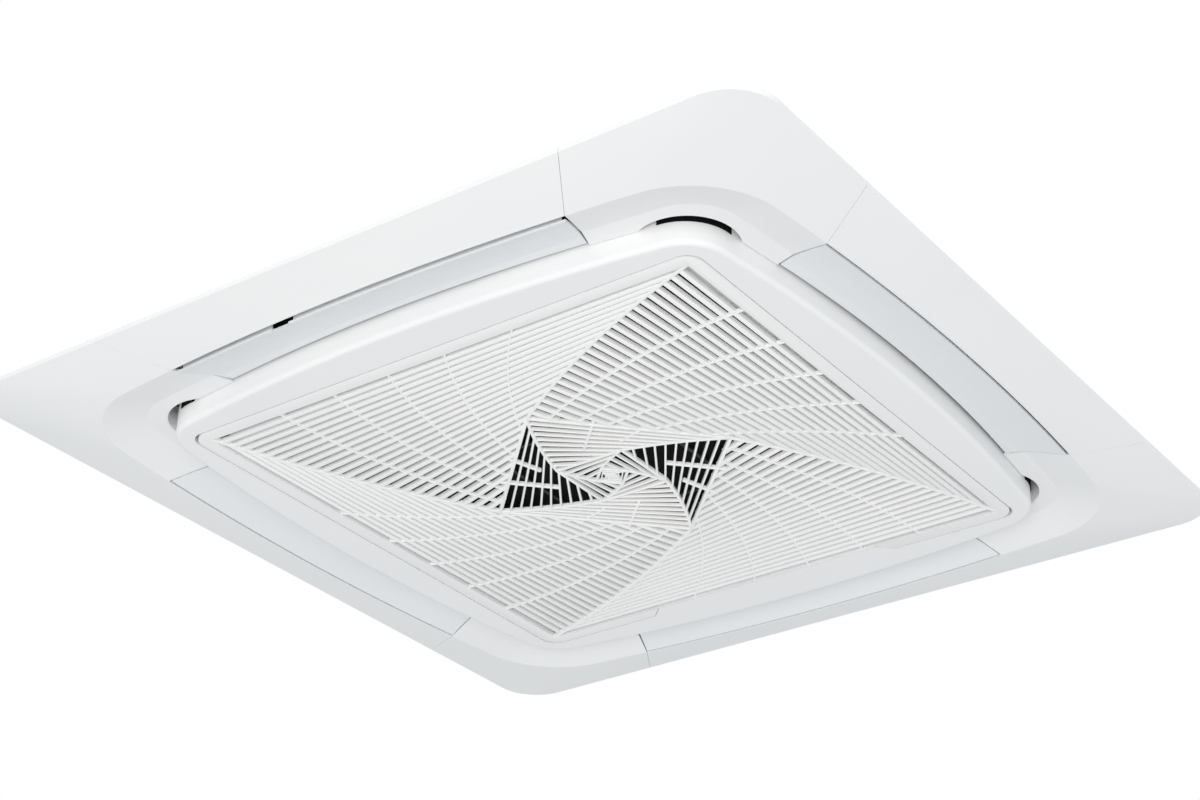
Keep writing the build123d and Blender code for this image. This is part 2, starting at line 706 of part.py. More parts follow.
screw_end = 262.0
screw_heights = (60.0, 150.0, 240.0)
with BuildPart() as side_panel:
    with BuildSketch(Plane.XY.offset(body_bottom)):
        with Locations((0, -body_half + sheet / 2)):
            Rectangle(2 * side_end, sheet)
    extrude(amount=body_top - sheet - seat_gap - body_bottom)
    with BuildSketch(Plane.XY.offset(body_bottom)):
        with Locations((0, -body_half + bottom_flange / 2)):
            Rectangle(2 * side_end, bottom_flange)
    extrude(amount=sheet)
    with BuildSketch(Plane.XZ.offset(body_half - sheet)):
        for height in screw_heights:
            with Locations((-screw_end, height), (screw_end, height)):
                Circle(1.9)
    extrude(amount=sheet, mode=Mode.SUBTRACT)
for index, side in enumerate(SIDES):
    write(side_panel.part, f"side_panel_{side}", 90 * index)

pipe_ports = ((15.0, 200.0, 8.24), (50.0, 165.0, 5.06))
drain_spot = -25.0
drain_height = 95.0
drain_radius = 16.0
ports = {"back_right": pipe_ports, "back_left": ((drain_spot, drain_height, drain_radius + seat_gap),)}


def corner_panel(holes):
    """Corner panel of the front right corner; each hole is its place along the panel, height and radius."""
    with BuildPart() as panel:
        middle = (corner_reach - sheet / 2) / sqrt(2)
        with BuildSketch(Plane.XY.offset(body_bottom)):
            with Locations(Location((middle, -middle, 0), (0, 0, 45))):
                Rectangle(corner_width, sheet)
            with Locations((tab_face - sheet / 2, -side_end - 1 + 8), (side_end + 1 - 8, -tab_face + sheet / 2)):
                pass
        extrude(amount=body_top - sheet - seat_gap - body_bottom)
        with BuildSketch(Plane.XY.offset(body_bottom + sheet + seat_gap)):
            with Locations((tab_face - sheet / 2, -side_end - 2.2 + 12.1)):
                Rectangle(sheet, 24.2)
            with Locations((side_end + 2.2 - 12.1, -tab_face + sheet / 2)):
                Rectangle(24.2, sheet)
        extrude(amount=body_top - 2 * sheet - 2 * seat_gap - body_bottom)
        flange_middle = (corner_reach - corner_flange / 2) / sqrt(2)
        with BuildSketch(Plane.XY.offset(body_bottom)):
            with Locations(Location((flange_middle, -flange_middle, 0), (0, 0, 45))):
                Rectangle(2 * 80, corner_flange)
            with Locations((screw_spot, -screw_spot)):
                Circle(screw_radius + 0.3, mode=Mode.SUBTRACT)
        extrude(amount=sheet)
        with BuildSketch(Plane.XZ.offset(tab_face - sheet)):
            for height in screw_heights:
                with Locations((screw_end, height)):
                    Circle(1.9)
        extrude(amount=sheet, mode=Mode.SUBTRACT)
        with BuildSketch(Plane.YZ.offset(tab_face - sheet)):
            for height in screw_heights:
                with Locations((-screw_end, height)):
                    Circle(1.9)
        extrude(amount=sheet, mode=Mode.SUBTRACT)
        if holes:
            face = Plane(origin=(0, 0, 0), x_dir=(1, 1, 0), z_dir=(1, -1, 0))
            with BuildSketch(face.offset(corner_reach - 4)):
                for along, height, radius in holes:
                    with Locations((along, height)):
                        Circle(radius)
            extrude(amount=6, mode=Mode.SUBTRACT)
    return panel.part


for index, corner in enumerate(CORNERS):
    write(corner_panel(ports.get(corner, ())), f"corner_panel_{corner}", 90 * index)

with BuildPart() as casing_screws:
    for turn in (0, 90, 180, 270):
        with BuildSketch(Plane.XZ.rotated((0, 0, turn)).offset(body_half)):
            for height in screw_heights:
                with Locations((-screw_end, height), (screw_end, height)):
                    RegularPolygon(4, 6)
        extrude(amount=2.3)
        with BuildSketch(Plane.XZ.rotated((0, 0, turn)).offset(tab_face - sheet + 0.1)):
            for height in screw_heights:
                with Locations((-screw_end, height), (screw_end, height)):
                    Circle(1.8)
        extrude(amount=body_half - tab_face + sheet)
write(casing_screws.part, "casing_screws")

hanger_along = (hanger_x - hanger_y) / sqrt(2)
hanger_reach = (hanger_x + hanger_y) / sqrt(2)
with BuildPart() as hanger:
    with BuildSketch(Plane.XY.offset(hanger_height - 25)):
        with Locations((hanger_along, -corner_reach - seat_gap - 1.25)):
            Rectangle(60, 2.5)
    extrude(amount=50)
    with BuildSketch(Plane.XY.offset(hanger_height)):
        with Locations((hanger_along, -corner_reach - seat_gap - 22)):
            RectangleRounded(60, 44, 1)
        with Locations(Location((hanger_along, -hanger_reach, 0), (0, 0, -45))):
            SlotOverall(hanger_slot_length, hanger_slot_width, mode=Mode.SUBTRACT)
    extrude(amount=3)
front_right_hanger = Rot(0, 0, 45) * hanger.part
back_right_hanger = mirror(front_right_hanger, about=Plane.XZ)
hanger_brackets = Compound([front_right_hanger, back_right_hanger, mirror(front_right_hanger, about=Plane.YZ),
                            mirror(back_right_hanger, about=Plane.YZ)])
write(hanger_brackets, "hanger_brackets")

with BuildPart() as liner:
    liner_inset = 2 * (sheet + seat_gap)
    with BuildSketch(Plane.XY.offset(pan_bottom)):
        add(octagon(liner_inset))
        add(octagon(liner_inset + liner_wall), mode=Mode.SUBTRACT)
    extrude(amount=body_top - sheet - seat_gap - pan_bottom)
    with BuildSketch(Plane.XY.offset(pan_bottom)):
        with GridLocations(2 * screw_spot, 2 * screw_spot, 2, 2):
            Circle(screw_radius + 1)
    extrude(amount=6, mode=Mode.SUBTRACT)
    with BuildSketch(Plane.XY.offset(body_top - sheet - seat_gap - liner_top)):
        add(octagon(liner_inset))
        Circle(95, mode=Mode.SUBTRACT)
    extrude(amount=liner_top)
    for corner_turn, holes in ((45 + 90, pipe_ports), (45 + 180, ports["back_left"])):
        with BuildSketch(Plane.XZ.rotated((0, 0, corner_turn)).offset(corner_reach - 30)):
            for along, height, radius in holes:
                with Locations((along, height)):
                    Circle(radius + 1)
        extrude(amount=30, mode=Mode.SUBTRACT)
write(liner.part, "liner")

# ---- Drain pan, coil and pipes ----
sump_near = 437.0
sump_far = 477.0
with BuildPart() as drain_pan:
    with BuildSketch(Plane.XY.offset(pan_bottom)):
        add(octagon(body_half - pan_half))
        Circle(pan_hole, mode=Mode.SUBTRACT)
        with PolarLocations(0, 4):
            with Locations((0, -(pan_outlet_inner + body_half) / 2)):
                Rectangle(2 * pan_outlet_end, body_half - pan_outlet_inner, mode=Mode.SUBTRACT)
    extrude(amount=pan_top - pan_bottom)
    with BuildSketch(Plane.XY.offset(trough_floor)):
        RectangleRounded(2 * (coil_outer + 4), 2 * (coil_outer + 4), coil_bend + 4)
        RectangleRounded(2 * (coil_inner - 4), 2 * (coil_inner - 4), coil_bend - 44, mode=Mode.SUBTRACT)
        with Locations(Location((-(sump_near + sump_far) / 2 / sqrt(2), (sump_near + sump_far) / 2 / sqrt(2), 0),
                                (0, 0, 45))):
            Rectangle(120, sump_far - sump_near)
    extrude(amount=pan_top - trough_floor, mode=Mode.SUBTRACT)
    with BuildSketch(Plane.XY.offset(trough_floor)):
        with PolarLocations(0, 4):
            with Locations((-150, -(coil_outer + coil_inner) / 2), (150, -(coil_outer + coil_inner) / 2)):
                Rectangle(30, 20)
    extrude(amount=coil_bottom - seat_gap - trough_floor)
write(drain_pan.part, "drain_pan")

with BuildPart() as heat_exchanger:
    with BuildSketch(Plane.XY.offset(coil_bottom)):
        RectangleRounded(2 * coil_outer, 2 * coil_outer, coil_bend)
        RectangleRounded(2 * coil_inner, 2 * coil_inner, coil_bend - coil_outer + coil_inner, mode=Mode.SUBTRACT)
        with Locations((coil_end + 100, coil_end + 100)):
            Rectangle(200, 200, mode=Mode.SUBTRACT)
    extrude(amount=coil_top - coil_bottom)
write(heat_exchanger.part, "heat_exchanger")

plate_start = coil_end + seat_gap
coil_middle = (coil_outer + coil_inner) / 2
with BuildPart() as coil_end_plates:
    with BuildSketch(Plane.XY.offset(coil_bottom)):
        with Locations((coil_middle, plate_start + sheet / 2)):
            Rectangle(coil_outer - coil_inner, sheet)
        with Locations((plate_start + sheet / 2, coil_middle)):
            Rectangle(sheet, coil_outer - coil_inner)
    extrude(amount=coil_top - coil_bottom)
write(coil_end_plates.part, "coil_end_plates")

bend_radius = 9.0
bend_start = plate_start + sheet + seat_gap
with BuildPart() as coil_tubes:
    for height in (85, 125, 165, 205, 240):
        with BuildSketch(Plane.XZ.offset(-bend_start)):
            with Locations((coil_middle - bend_radius, height)):
                Circle(3.5)
        revolve(axis=Axis((coil_middle, bend_start, 0), (0, 0, -1)), revolution_arc=180)
        with BuildSketch(Plane.YZ.offset(bend_start)):
            with Locations((coil_middle - bend_radius, height)):
                Circle(3.5)
        revolve(axis=Axis((bend_start, coil_middle, 0), (0, 0, 1)), revolution_arc=180)
write(coil_tubes.part, "coil_tubes")


def pipe(along, height, radius, end):
    """Pipe through the corner, drawn towards -Y: a header beside the coil and a straight run with a bore."""
    with BuildPart() as run:
        with BuildSketch(Plane.XZ.offset(425)):
            with Locations((along, height)):
                Circle(radius)
        extrude(amount=end - 425)
        with BuildSketch(Plane.XY.offset(80)):
            with Locations((along, -425)):
                Circle(radius + 1.2)
        extrude(amount=height + 20 - 80)
        with BuildSketch(Plane.XZ.offset(end - 25)):
            with Locations((along, height)):
                Circle(radius - 1)
        extrude(amount=25, mode=Mode.SUBTRACT)
    return run.part


gas_radius = 7.94
liquid_radius = 4.76
union_start = 535.0
union_hex = 10.0
union_thread = 15.0
pipe_end = union_start + union_hex - seat_gap
write(pipe(pipe_ports[0][0], pipe_ports[0][1], gas_radius, pipe_end), "gas_pipe", 135)
write(pipe(pipe_ports[1][0], pipe_ports[1][1], liquid_radius, pipe_end), "liquid_pipe", 135)

with BuildPart() as flare_unions:
    for (along, height, hole), radius, half, thread in zip(pipe_ports, (gas_radius, liquid_radius), (13.5, 9.5),
                                                           (11.1, 7.94)):
        with BuildSketch(Plane.XZ.offset(union_start)):
            with Locations((along, height)):
                RegularPolygon(half, 6, major_radius=False)
                Circle(radius + pin_clearance, mode=Mode.SUBTRACT)
        extrude(amount=union_hex)
        with BuildSketch(Plane.XZ.offset(union_start + union_hex)):
            with Locations((along, height)):
                Circle(thread)
                Circle(radius - 1, mode=Mode.SUBTRACT)
        extrude(amount=union_thread)
write(flare_unions.part, "flare_unions", 135)

with BuildPart() as pipe_cover_plate:
    with BuildSketch(Plane.XZ.offset(corner_reach + seat_gap)):
        with Locations((34, 182)):
            RectangleRounded(74, 74, 4)
        for along, height, radius in pipe_ports:
            with Locations((along, height)):
                Circle(radius, mode=Mode.SUBTRACT)
    extrude(amount=1.5)
write(pipe_cover_plate.part, "pipe_cover_plate", 135)

pump_reach = 458.0
impeller_bottom = 43.0
with BuildPart() as drain_pump:
    with BuildSketch(Plane.XY.offset(pan_top + seat_gap)):
        with Locations((drain_spot - 5, -(444 + sump_far + 4) / 2)):
            Rectangle(80, sump_far + 4 - 444)
    extrude(amount=3)
    with BuildSketch(Plane.XY.offset(pan_top + seat_gap)):
        with Locations((drain_spot, -pump_reach)):
            Circle(drain_radius)
    extrude(amount=60)
    with BuildSketch(Plane.XY.offset(impeller_bottom - 2)):
        with Locations((drain_spot, -pump_reach)):
            Circle(9)
    extrude(amount=pan_top + seat_gap - impeller_bottom + 2)
    with BuildSketch(Plane.XZ.offset(pump_reach)):
        with Locations((drain_spot, drain_height)):
            Circle(drain_radius - 2 - seat_gap)
    extrude(amount=27)
    with BuildSketch(Plane.XY.offset(impeller_bottom - 2)):
        with Locations((drain_spot, -pump_reach)):
            Circle(7.5)
    extrude(amount=16, mode=Mode.SUBTRACT)
    with BuildSketch(Plane.XY.offset(impeller_bottom)):
        with Locations((drain_spot, -pump_reach)):
            Circle(1.5 + pin_clearance)
    extrude(amount=40, mode=Mode.SUBTRACT)
write(drain_pump.part, "drain_pump", 225)

with BuildPart() as pump_impeller:
    with BuildSketch(Plane.XY.offset(impeller_bottom)):
        with Locations((drain_spot, -pump_reach)):
            Circle(2.5)
            with PolarLocations(0, 4):
                Rectangle(12.6, 1)
    extrude(amount=8)
    with BuildSketch(Plane.XY.offset(impeller_bottom)):
        with Locations((drain_spot, -pump_reach)):
            Circle(1.5)
    extrude(amount=38)
write(pump_impeller.part, "pump_impeller", 225)

float_spot = 32.0
with BuildPart() as float_switch:
    with BuildSketch(Plane.XY.offset(pan_top + seat_gap)):
        with Locations((float_spot + 12, -(450 + sump_far + 4) / 2)):
            Rectangle(56, sump_far + 4 - 450)
    extrude(amount=2)
    with BuildSketch(Plane.XY.offset(trough_floor + 3)):
        with Locations((float_spot, -460)):
            Circle(2)
    extrude(amount=pan_top - trough_floor - 2)
    with BuildSketch(Plane.XY.offset(trough_floor + 2)):
        with Locations((float_spot, -460)):
            Circle(4)
    extrude(amount=2)
    with BuildSketch(Plane.XY.offset(pan_top + seat_gap)):
        with Locations((float_spot, -460)):
            Circle(7)
    extrude(amount=14)
write(float_switch.part, "float_switch", 225)

with BuildPart() as float_ring:
    with BuildSketch(Plane.XY.offset(trough_floor + 4.3)):
        with Locations((float_spot, -460)):
            Circle(8)
            Circle(2 + pin_clearance, mode=Mode.SUBTRACT)
    extrude(amount=12)
write(float_ring.part, "float", 225)

with BuildPart() as drain_outlet:
    with BuildSketch(Plane.XZ.offset(pump_reach + 22)):
        with Locations((drain_spot, drain_height)):
            Circle(drain_radius)
    extrude(amount=62)
    with BuildSketch(Plane.XZ.offset(corner_reach + seat_gap)):
        with Locations((drain_spot, drain_height)):
            Circle(drain_radius + 6)
    extrude(amount=2)
    with BuildSketch(Plane.XZ.offset(pump_reach + 22)):
        with Locations((drain_spot, drain_height)):
            Circle(drain_radius - 2)
    extrude(amount=62, mode=Mode.SUBTRACT)
write(drain_outlet.part, "drain_outlet", 225)

# ---- Fan ----
with BuildPart() as bell_mouth:
    with BuildSketch(Plane.XY.offset(pan_bottom - seat_gap - 2)):
        RectangleRounded(2 * bell_half, 2 * bell_half, 40)
        Circle(bell_radius, mode=Mode.SUBTRACT)
    extrude(amount=2)
    with BuildSketch(Plane.XZ):
        with BuildLine():
            low = pan_bottom - seat_gap - 2
            inside = ThreePointArc((bell_radius, low), (inlet_radius + 10, low + 14), (inlet_radius, fan_bottom + 4))
            Line(inside @ 1, (inlet_radius + 2, fan_bottom + 4))
            ThreePointArc((inlet_radius + 2, fan_bottom + 4), (inlet_radius + 11.6, low + 15.6),
                          (bell_radius + 2, low + 2))
            Line((bell_radius + 2, low + 2), (bell_radius + 2, low))
            Line((bell_radius + 2, low), inside @ 0)
        make_face()
    revolve(axis=Axis.Z)
write(bell_mouth.part, "bell_mouth")

hub_wall = 2.5
with BuildPart() as blades:
    with BuildSketch(Plane.XY.offset(fan_bottom)):
        with BuildLine():
            ThreePointArc((150, 0), (202, -28), (fan_radius * cos(radians(22)) - 4, -fan_radius * sin(radians(22))))
        trace(line_width=3)
    extrude(amount=fan_hub_height - fan_bottom + 1)
    with BuildSketch(Plane.XZ):
        with BuildLine():
            skirt = ThreePointArc((fan_radius, 94.25), (fan_inlet_radius + 8.45, 79.9),
                                  (fan_inlet_radius + 1.25, fan_bottom + 1))
            Polyline(skirt @ 1, (fan_inlet_radius - 2, 86), (152, fan_hub_height + 1),
                     (fan_radius, fan_hub_height + 1), skirt @ 0)
        make_face()
    revolve(axis=Axis.Z, mode=Mode.INTERSECT)

with BuildPart() as turbo_fan:
    with BuildSketch(Plane.XZ):
        with BuildLine():
            mouth = ThreePointArc((fan_inlet_radius + hub_wall, fan_bottom), (fan_inlet_radius + 9.5, 79),
                                  (fan_radius, 93))
            Line(mouth @ 1, (fan_radius, 93 + hub_wall))
            ThreePointArc((fan_radius, 93 + hub_wall), (fan_inlet_radius + 7.4, 80.8), (fan_inlet_radius, fan_bottom))
            Line((fan_inlet_radius, fan_bottom), mouth @ 0)
        make_face()
        with BuildLine():
            Polyline((motor_shaft_radius + pin_clearance, fan_cup_height), (fan_cup_radius, fan_cup_height),
                     (fan_cup_radius + 22, fan_hub_height), (fan_radius, fan_hub_height),
                     (fan_radius, fan_hub_height + hub_wall), (fan_cup_radius + 20, fan_hub_height + hub_wall),
                     (fan_cup_radius - 2, fan_cup_height + hub_wall), (12, fan_cup_height + hub_wall),
                     (12, fan_cup_height + 14), (motor_shaft_radius + pin_clearance, fan_cup_height + 14),
                     close=True)
        make_face()
    revolve(axis=Axis.Z)
    with PolarLocations(0, fan_blades):
        add(blades.part)
write(turbo_fan.part, "turbo_fan")

with BuildPart() as motor_shaft:
    with BuildSketch(Plane.XY.offset(fan_cup_height - 9)):
        Circle(motor_shaft_radius)
    extrude(amount=motor_bottom - fan_cup_height + 9 + 10)
write(motor_shaft.part, "motor_shaft")

with BuildPart() as fan_nut:
    with BuildSketch(Plane.XY.offset(fan_cup_height - seat_gap - 6.5)):
        RegularPolygon(6.5, 6, major_radius=False)
        Circle(motor_shaft_radius + pin_clearance, mode=Mode.SUBTRACT)
    extrude(amount=6.5)
write(fan_nut.part, "fan_nut")

mount_reach = 68.0
with BuildPart() as fan_motor:
    with BuildSketch(Plane.XY.offset(motor_bottom)):
        Circle(motor_radius)
    extrude(amount=motor_top - motor_bottom)
    fillet(fan_motor.faces().sort_by(Axis.Z)[0].edges(), 6)
    with BuildSketch(Plane.XY.offset(motor_top - 3)):
        with PolarLocations(0, 4, 45):
            SlotCenterToCenter(2 * mount_reach, 18)
    extrude(amount=3)
    with BuildSketch(Plane.XY.offset(motor_bottom)):
        Circle(motor_shaft_radius + pin_clearance)
    extrude(amount=12, mode=Mode.SUBTRACT)
write(fan_motor.part, "fan_motor")

with BuildPart() as motor_mounts:
    with BuildSketch(Plane.XY.offset(motor_top + seat_gap)):
        with PolarLocations(mount_reach, 4, 45):
            Circle(8)
    extrude(amount=body_top - sheet - motor_top - 2 * seat_gap)
write(motor_mounts.part, "motor_mounts")

# ---- Control box beside the intake ----
box_half = 170.0
box_near = 244.0
box_far = 292.0
box_bottom = -6.0
box_top = pan_bottom - seat_gap - 2 - seat_gap
box_wall = 1.5
box_middle = (box_near + box_far) / 2
with BuildPart() as control_box:
    with BuildSketch(Plane.XY.offset(box_bottom)):
        with Locations((0, box_middle)):
            RectangleRounded(2 * box_half, box_far - box_near, 3)
    extrude(amount=box_top - box_bottom)
    with BuildSketch(Plane.XY.offset(box_bottom)):
        with Locations((0, box_middle)):
            Rectangle(2 * (box_half - box_wall), box_far - box_near - 2 * box_wall)
    extrude(amount=box_top - box_bottom - box_wall, mode=Mode.SUBTRACT)
    with BuildSketch(Plane.XY.offset(7.5)):
        with Locations((0, box_middle)):
            with GridLocations(280, 32, 2, 2):
                Circle(2.5)
    extrude(amount=box_top - 7.5)
write(control_box.part, "control_box")

with BuildPart() as control_box_cover:
    with BuildSketch(Plane.XY.offset(box_bottom - seat_gap - box_wall)):
        with Locations((0, box_middle)):
            RectangleRounded(2 * box_half, box_far - box_near, 3)
    extrude(amount=box_wall)
write(control_box_cover.part, "control_box_cover")

with BuildPart() as control_board:
    with BuildSketch(Plane.XY.offset(5.6)):
        with Locations((0, box_middle)):
            Rectangle(300, 42)
    extrude(amount=1.6)
    with Locations((-110, box_middle, 2.1), (-60, box_middle + 4, 1.6), (20, box_middle - 6, 2.6)):
        Box(34, 20, 7)
    with Locations((100, box_middle, 1.1)):
        Box(60, 14, 9)
write(control_board.part, "control_board")
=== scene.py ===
import json
from math import atan2, cos, pi, radians, sin, sqrt

import bpy
from mathutils import Matrix, Vector


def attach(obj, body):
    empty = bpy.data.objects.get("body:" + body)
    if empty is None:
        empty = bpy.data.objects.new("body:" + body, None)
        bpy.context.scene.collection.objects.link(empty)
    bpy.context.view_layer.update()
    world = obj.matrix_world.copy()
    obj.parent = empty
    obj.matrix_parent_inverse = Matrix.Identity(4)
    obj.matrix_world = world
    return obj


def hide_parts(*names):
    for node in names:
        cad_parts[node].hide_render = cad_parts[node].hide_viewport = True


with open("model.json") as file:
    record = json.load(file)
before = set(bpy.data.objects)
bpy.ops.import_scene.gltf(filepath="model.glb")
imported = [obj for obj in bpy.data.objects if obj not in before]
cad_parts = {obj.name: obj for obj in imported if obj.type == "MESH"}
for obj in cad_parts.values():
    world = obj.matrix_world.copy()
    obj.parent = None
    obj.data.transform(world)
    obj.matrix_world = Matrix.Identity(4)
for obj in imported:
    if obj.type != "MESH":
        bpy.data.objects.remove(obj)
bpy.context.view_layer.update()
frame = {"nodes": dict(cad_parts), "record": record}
nodes = frame["nodes"]

# ---- Intake grille, in metres: sizes that the solid has too ----
face_depth = 0.029        # lowest face of the panel, below the ceiling
grille_half = 0.3099      # half the grille's width
recess_half = 0.144       # the finger recess on the back side: half its length
recess_depth = 0.016      #   and how far the outline steps in
border_depth = 0.010      # height of the border
pattern_half = 0.2942     # half the width of the slatted field
slat_recess = 0.0005      # the slats' lower faces lie this far above the border's
whirl_turn = -45.0        # each square of blades is turned by this from the last
whirl_bulge = 0.034       # sagitta of a blade's edge over its length
fan_linear = 11.2         # a slat's angle to its blade's outer side grows with its place t: fan_linear * t
fan_square = 10.2         #   + fan_square * t * t, in degrees
cross_rib = 0.0022        # width of a cross rib
rib_starts = (0.16, 0.28, 0.40, 0.52, 0.66)    # where the cross ribs leave a blade's outer side
rib_ends = (0.10, 0.24, 0.38, 0.60, 0.86)      # and where they meet its inner side
rib_bend = 0.055          # their sagitta

# ---- Intake grille: sizes of the visible pieces alone, listed from the outer turn of blades inwards ----
grille_corner = 0.021     # 5 mm more than the solid's, so that the opened border clears the panel frame
corner_segments = 8
edge_rounding = 0.00125   # of the border's lower edges
edge_segments = 3
whirl_diagonals = (pattern_half * sqrt(2), 0.148, 0.058, 0.020, 0.0065)    # half diagonals of the squares
whirl_slots = (25, 10, 4, 3)                   # slots in each blade between two squares
slat_widths = (0.0054, 0.0022, 0.0022, 0.0013)
inner_slat_depth = 0.0038
slat_depths = (0.0052, inner_slat_depth, inner_slat_depth, inner_slat_depth)
rounding_part = 6         # a slat's lower edges are rounded by its width over this
edge_ribs = (0.0040, 0.0034, 0.0028, 0.0016)   # widths of the blades' edges
edge_drop = 0.00012       # the blades' curved edges reach this far below the slats,
side_drop = 0.00004       #   the straight ones this much further,
rib_lift = 0.00008        #   and the cross ribs end this far above, so that no two faces share a plane
rib_back = 0.0004         # ribs and edges stand this far above the inner slats
rib_lean = 0.3            # how much a cross rib bends along Y, where it is 1 along X
inner_rib = 0.0030        # width of the two ribs across each blade of the second turn, and their ends
inner_ribs = (((-0.1075, -0.0545), (-0.0620, -0.0085)), ((-0.0690, -0.0950), (-0.0560, -0.0500)))
bar_rounding = 0.0006
rib_rounding = 0.0004
boss_rounding = 0.0007
boss_segments = 3
arc_step = 0.012          # length of a curved bar's straight parts
pocket_place = 0.200      # pockets for the hinge lugs: distance from mid side,
pocket_half = 0.008       #   half their width,
pocket_inside = -0.2952   #   their inner wall
pocket_floor = 0.0013     #   and the skin that is left below them

# ---- Corner slots of the panel, and black strips of painted shade in them: the turns are in degrees, in the front right corner ----
ring_corner = 0.2847      # the centre frame's corner: its centre in X and Y
ring_radius = 0.050       #   and its radius
shade_strip_away = 0.0008        # the black strip of painted shade: its middle line runs this far outside it
shade_strip_thickness = 0.0008
shade_strip_low = -0.0058
shade_strip_high = 0.0090
shade_strip_turns = {"front_right": (-86.0, 0.0), "back_right": (-92.0, -50.0), "back_left": (-86.0, 0.0),
              "front_left": (-22.0, 4.0)}
slot_centre = 0.2921      # the cover's slot: its centre in X and Y
slot_radius = 0.0508      #   and its outer radius
slot_turn = (-114.0, 24.0)
slot_wall = 0.0012
slot_low = -0.0068
slot_high = 0.0210
slot_step = 0.003

# ---- Ribs on the flaps ----
flap_bow = 2.8850         # the outlets' bowed outer lip: its radius
flap_mid = 0.4190         #   and its distance from the panel's middle at mid side
flap_rib_inset = 0.0072   # from the lip to the rib's middle line
flap_rib_width = 0.0012
flap_rib_low = -0.0156
flap_rib_high = -0.0086
flap_rib_rounding = 0.0003
flap_rib_step = 0.03
flap_rib_runs = ((-0.232, -0.107), (-0.079, 0.232))    # the front flap's, on both sides of its notch
flap_hinge_y = -0.368
flap_turns = (4.0, 0.0, 0.0, 0.0)              # how far each flap stands open: front, right, back, left

# ---- Limits of the working steps ----
merge_distance = 0.00002
smooth_angle = radians(35)
flat_angle = radians(1)
near = 0.001              # what lies this close to a line is taken as on it
hair = 0.0001             # the same for a level


# ---- Ways of working ----
def put_down():
    if bpy.context.object and bpy.context.object.mode != "OBJECT":
        bpy.ops.object.mode_set(mode="OBJECT")
    bpy.ops.object.select_all(action="DESELECT")


def pick(*pieces):
    put_down()
    for piece in pieces:
        piece.select_set(True)
    bpy.context.view_layer.objects.active = pieces[0]


def settle(piece):
    """Puts the piece's place into its mesh."""
    pick(piece)
    bpy.ops.object.transform_apply(location=True, rotation=True, scale=True)
    return piece


def turned(piece, degrees):
    """Turns the piece about the upright line through the panel's middle."""
    piece.rotation_euler = (0, 0, radians(degrees))
    return settle(piece)


def copied(piece):
    twin = piece.copy()
    twin.data = piece.data.copy()
    bpy.context.scene.collection.objects.link(twin)
    return twin


def joined(pieces):
    pick(*pieces)
    if len(pieces) > 1:
        bpy.ops.object.join()
    return settle(bpy.context.object)


def repeated(piece):
    """The piece and its copies at the other three sides, as one."""
    return joined([piece] + [turned(copied(piece), quarter) for quarter in (90, 180, 270)])


def edit_all(piece, mode="FACE"):
    """Opens the piece in edit mode with everything selected."""
    pick(piece)
    bpy.ops.object.mode_set(mode="EDIT")
    bpy.ops.mesh.select_mode(type=mode)
    bpy.ops.mesh.select_all(action="SELECT")


def select_in(piece, mode, wanted):
    """Selects the vertices, edges or faces that fit: an edge by both ends, a face by its centre."""
    edit_all(piece, mode)
    bpy.ops.mesh.select_all(action="DESELECT")
    leave_edit()
    mesh = piece.data
    if mode == "VERT":
        for vertex in mesh.vertices:
            vertex.select = wanted(vertex.co)
    elif mode == "EDGE":
        for edge in mesh.edges:
            edge.select = all(wanted(mesh.vertices[index].co) for index in edge.vertices)
    else:
        for face in mesh.polygons:
            face.select = wanted(face.center)
    bpy.ops.object.mode_set(mode="EDIT")


def leave_edit():
    bpy.ops.object.mode_set(mode="OBJECT")


def tidy_faces(piece):
    """Merges doubles and turns every face outwards."""
    edit_all(piece)
    bpy.ops.mesh.remove_doubles(threshold=merge_distance)
    bpy.ops.mesh.normals_make_consistent(inside=False)
    leave_edit()
    return piece


def cut_through(point, facing):
    """Cuts the whole mesh that is in edit mode along a plane."""
    bpy.ops.mesh.select_all(action="SELECT")
    bpy.ops.mesh.bisect(plane_co=point, plane_no=facing)


def raise_faces(height):
    bpy.ops.mesh.extrude_region_move(TRANSFORM_OT_translate={"value": (0, 0, height)})


def place(piece, name, body, finish, replaced=()):
    """Finishes the piece for its body."""
    piece.name = name
    piece.data.name = name
    piece.data.materials.clear()
    piece.data.materials.append(finishes[finish])
    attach(piece, body)
    if replaced:
        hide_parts(*replaced)
    pick(piece)
    bpy.ops.object.shade_smooth_by_angle(angle=smooth_angle)


# ---- Node trees of the finishes ----
def feed(tree, socket, value):
    """Gives a socket a plain value, or a link from another socket."""
    if isinstance(value, bpy.types.NodeSocket):
        tree.links.new(value, socket)
    else:
        socket.default_value = value


def object_place(tree):
    for node in tree.nodes:
        if node.type == "TEX_COORD":
            return node.outputs["Object"]
    return tree.nodes.new("ShaderNodeTexCoord").outputs["Object"]


def noise(tree, scale, detail, roughness=0.5):
    texture = tree.nodes.new("ShaderNodeTexNoise")
    texture.inputs["Detail"].default_value = detail
    texture.inputs["Roughness"].default_value = roughness
    feed(tree, texture.inputs["Scale"], scale)
    tree.links.new(object_place(tree), texture.inputs["Vector"])
    return texture.outputs["Fac"]


def spread(tree, value, low, high, start=0.3, end=0.7):
    """Maps the range from start to end, a texture's middle one, to low..high."""
    ranged = tree.nodes.new("ShaderNodeMapRange")
    tree.links.new(value, ranged.inputs["Value"])
    ranged.inputs["From Min"].default_value = start
    ranged.inputs["From Max"].default_value = end
    ranged.inputs["To Min"].default_value = low
    ranged.inputs["To Max"].default_value = high
    return ranged.outputs["Result"]


def calculated(tree, operation, first, second=0.0):
    node = tree.nodes.new("ShaderNodeMath")
    node.operation = operation
    feed(tree, node.inputs[0], first)
    feed(tree, node.inputs[1], second)
    return node.outputs["Value"]


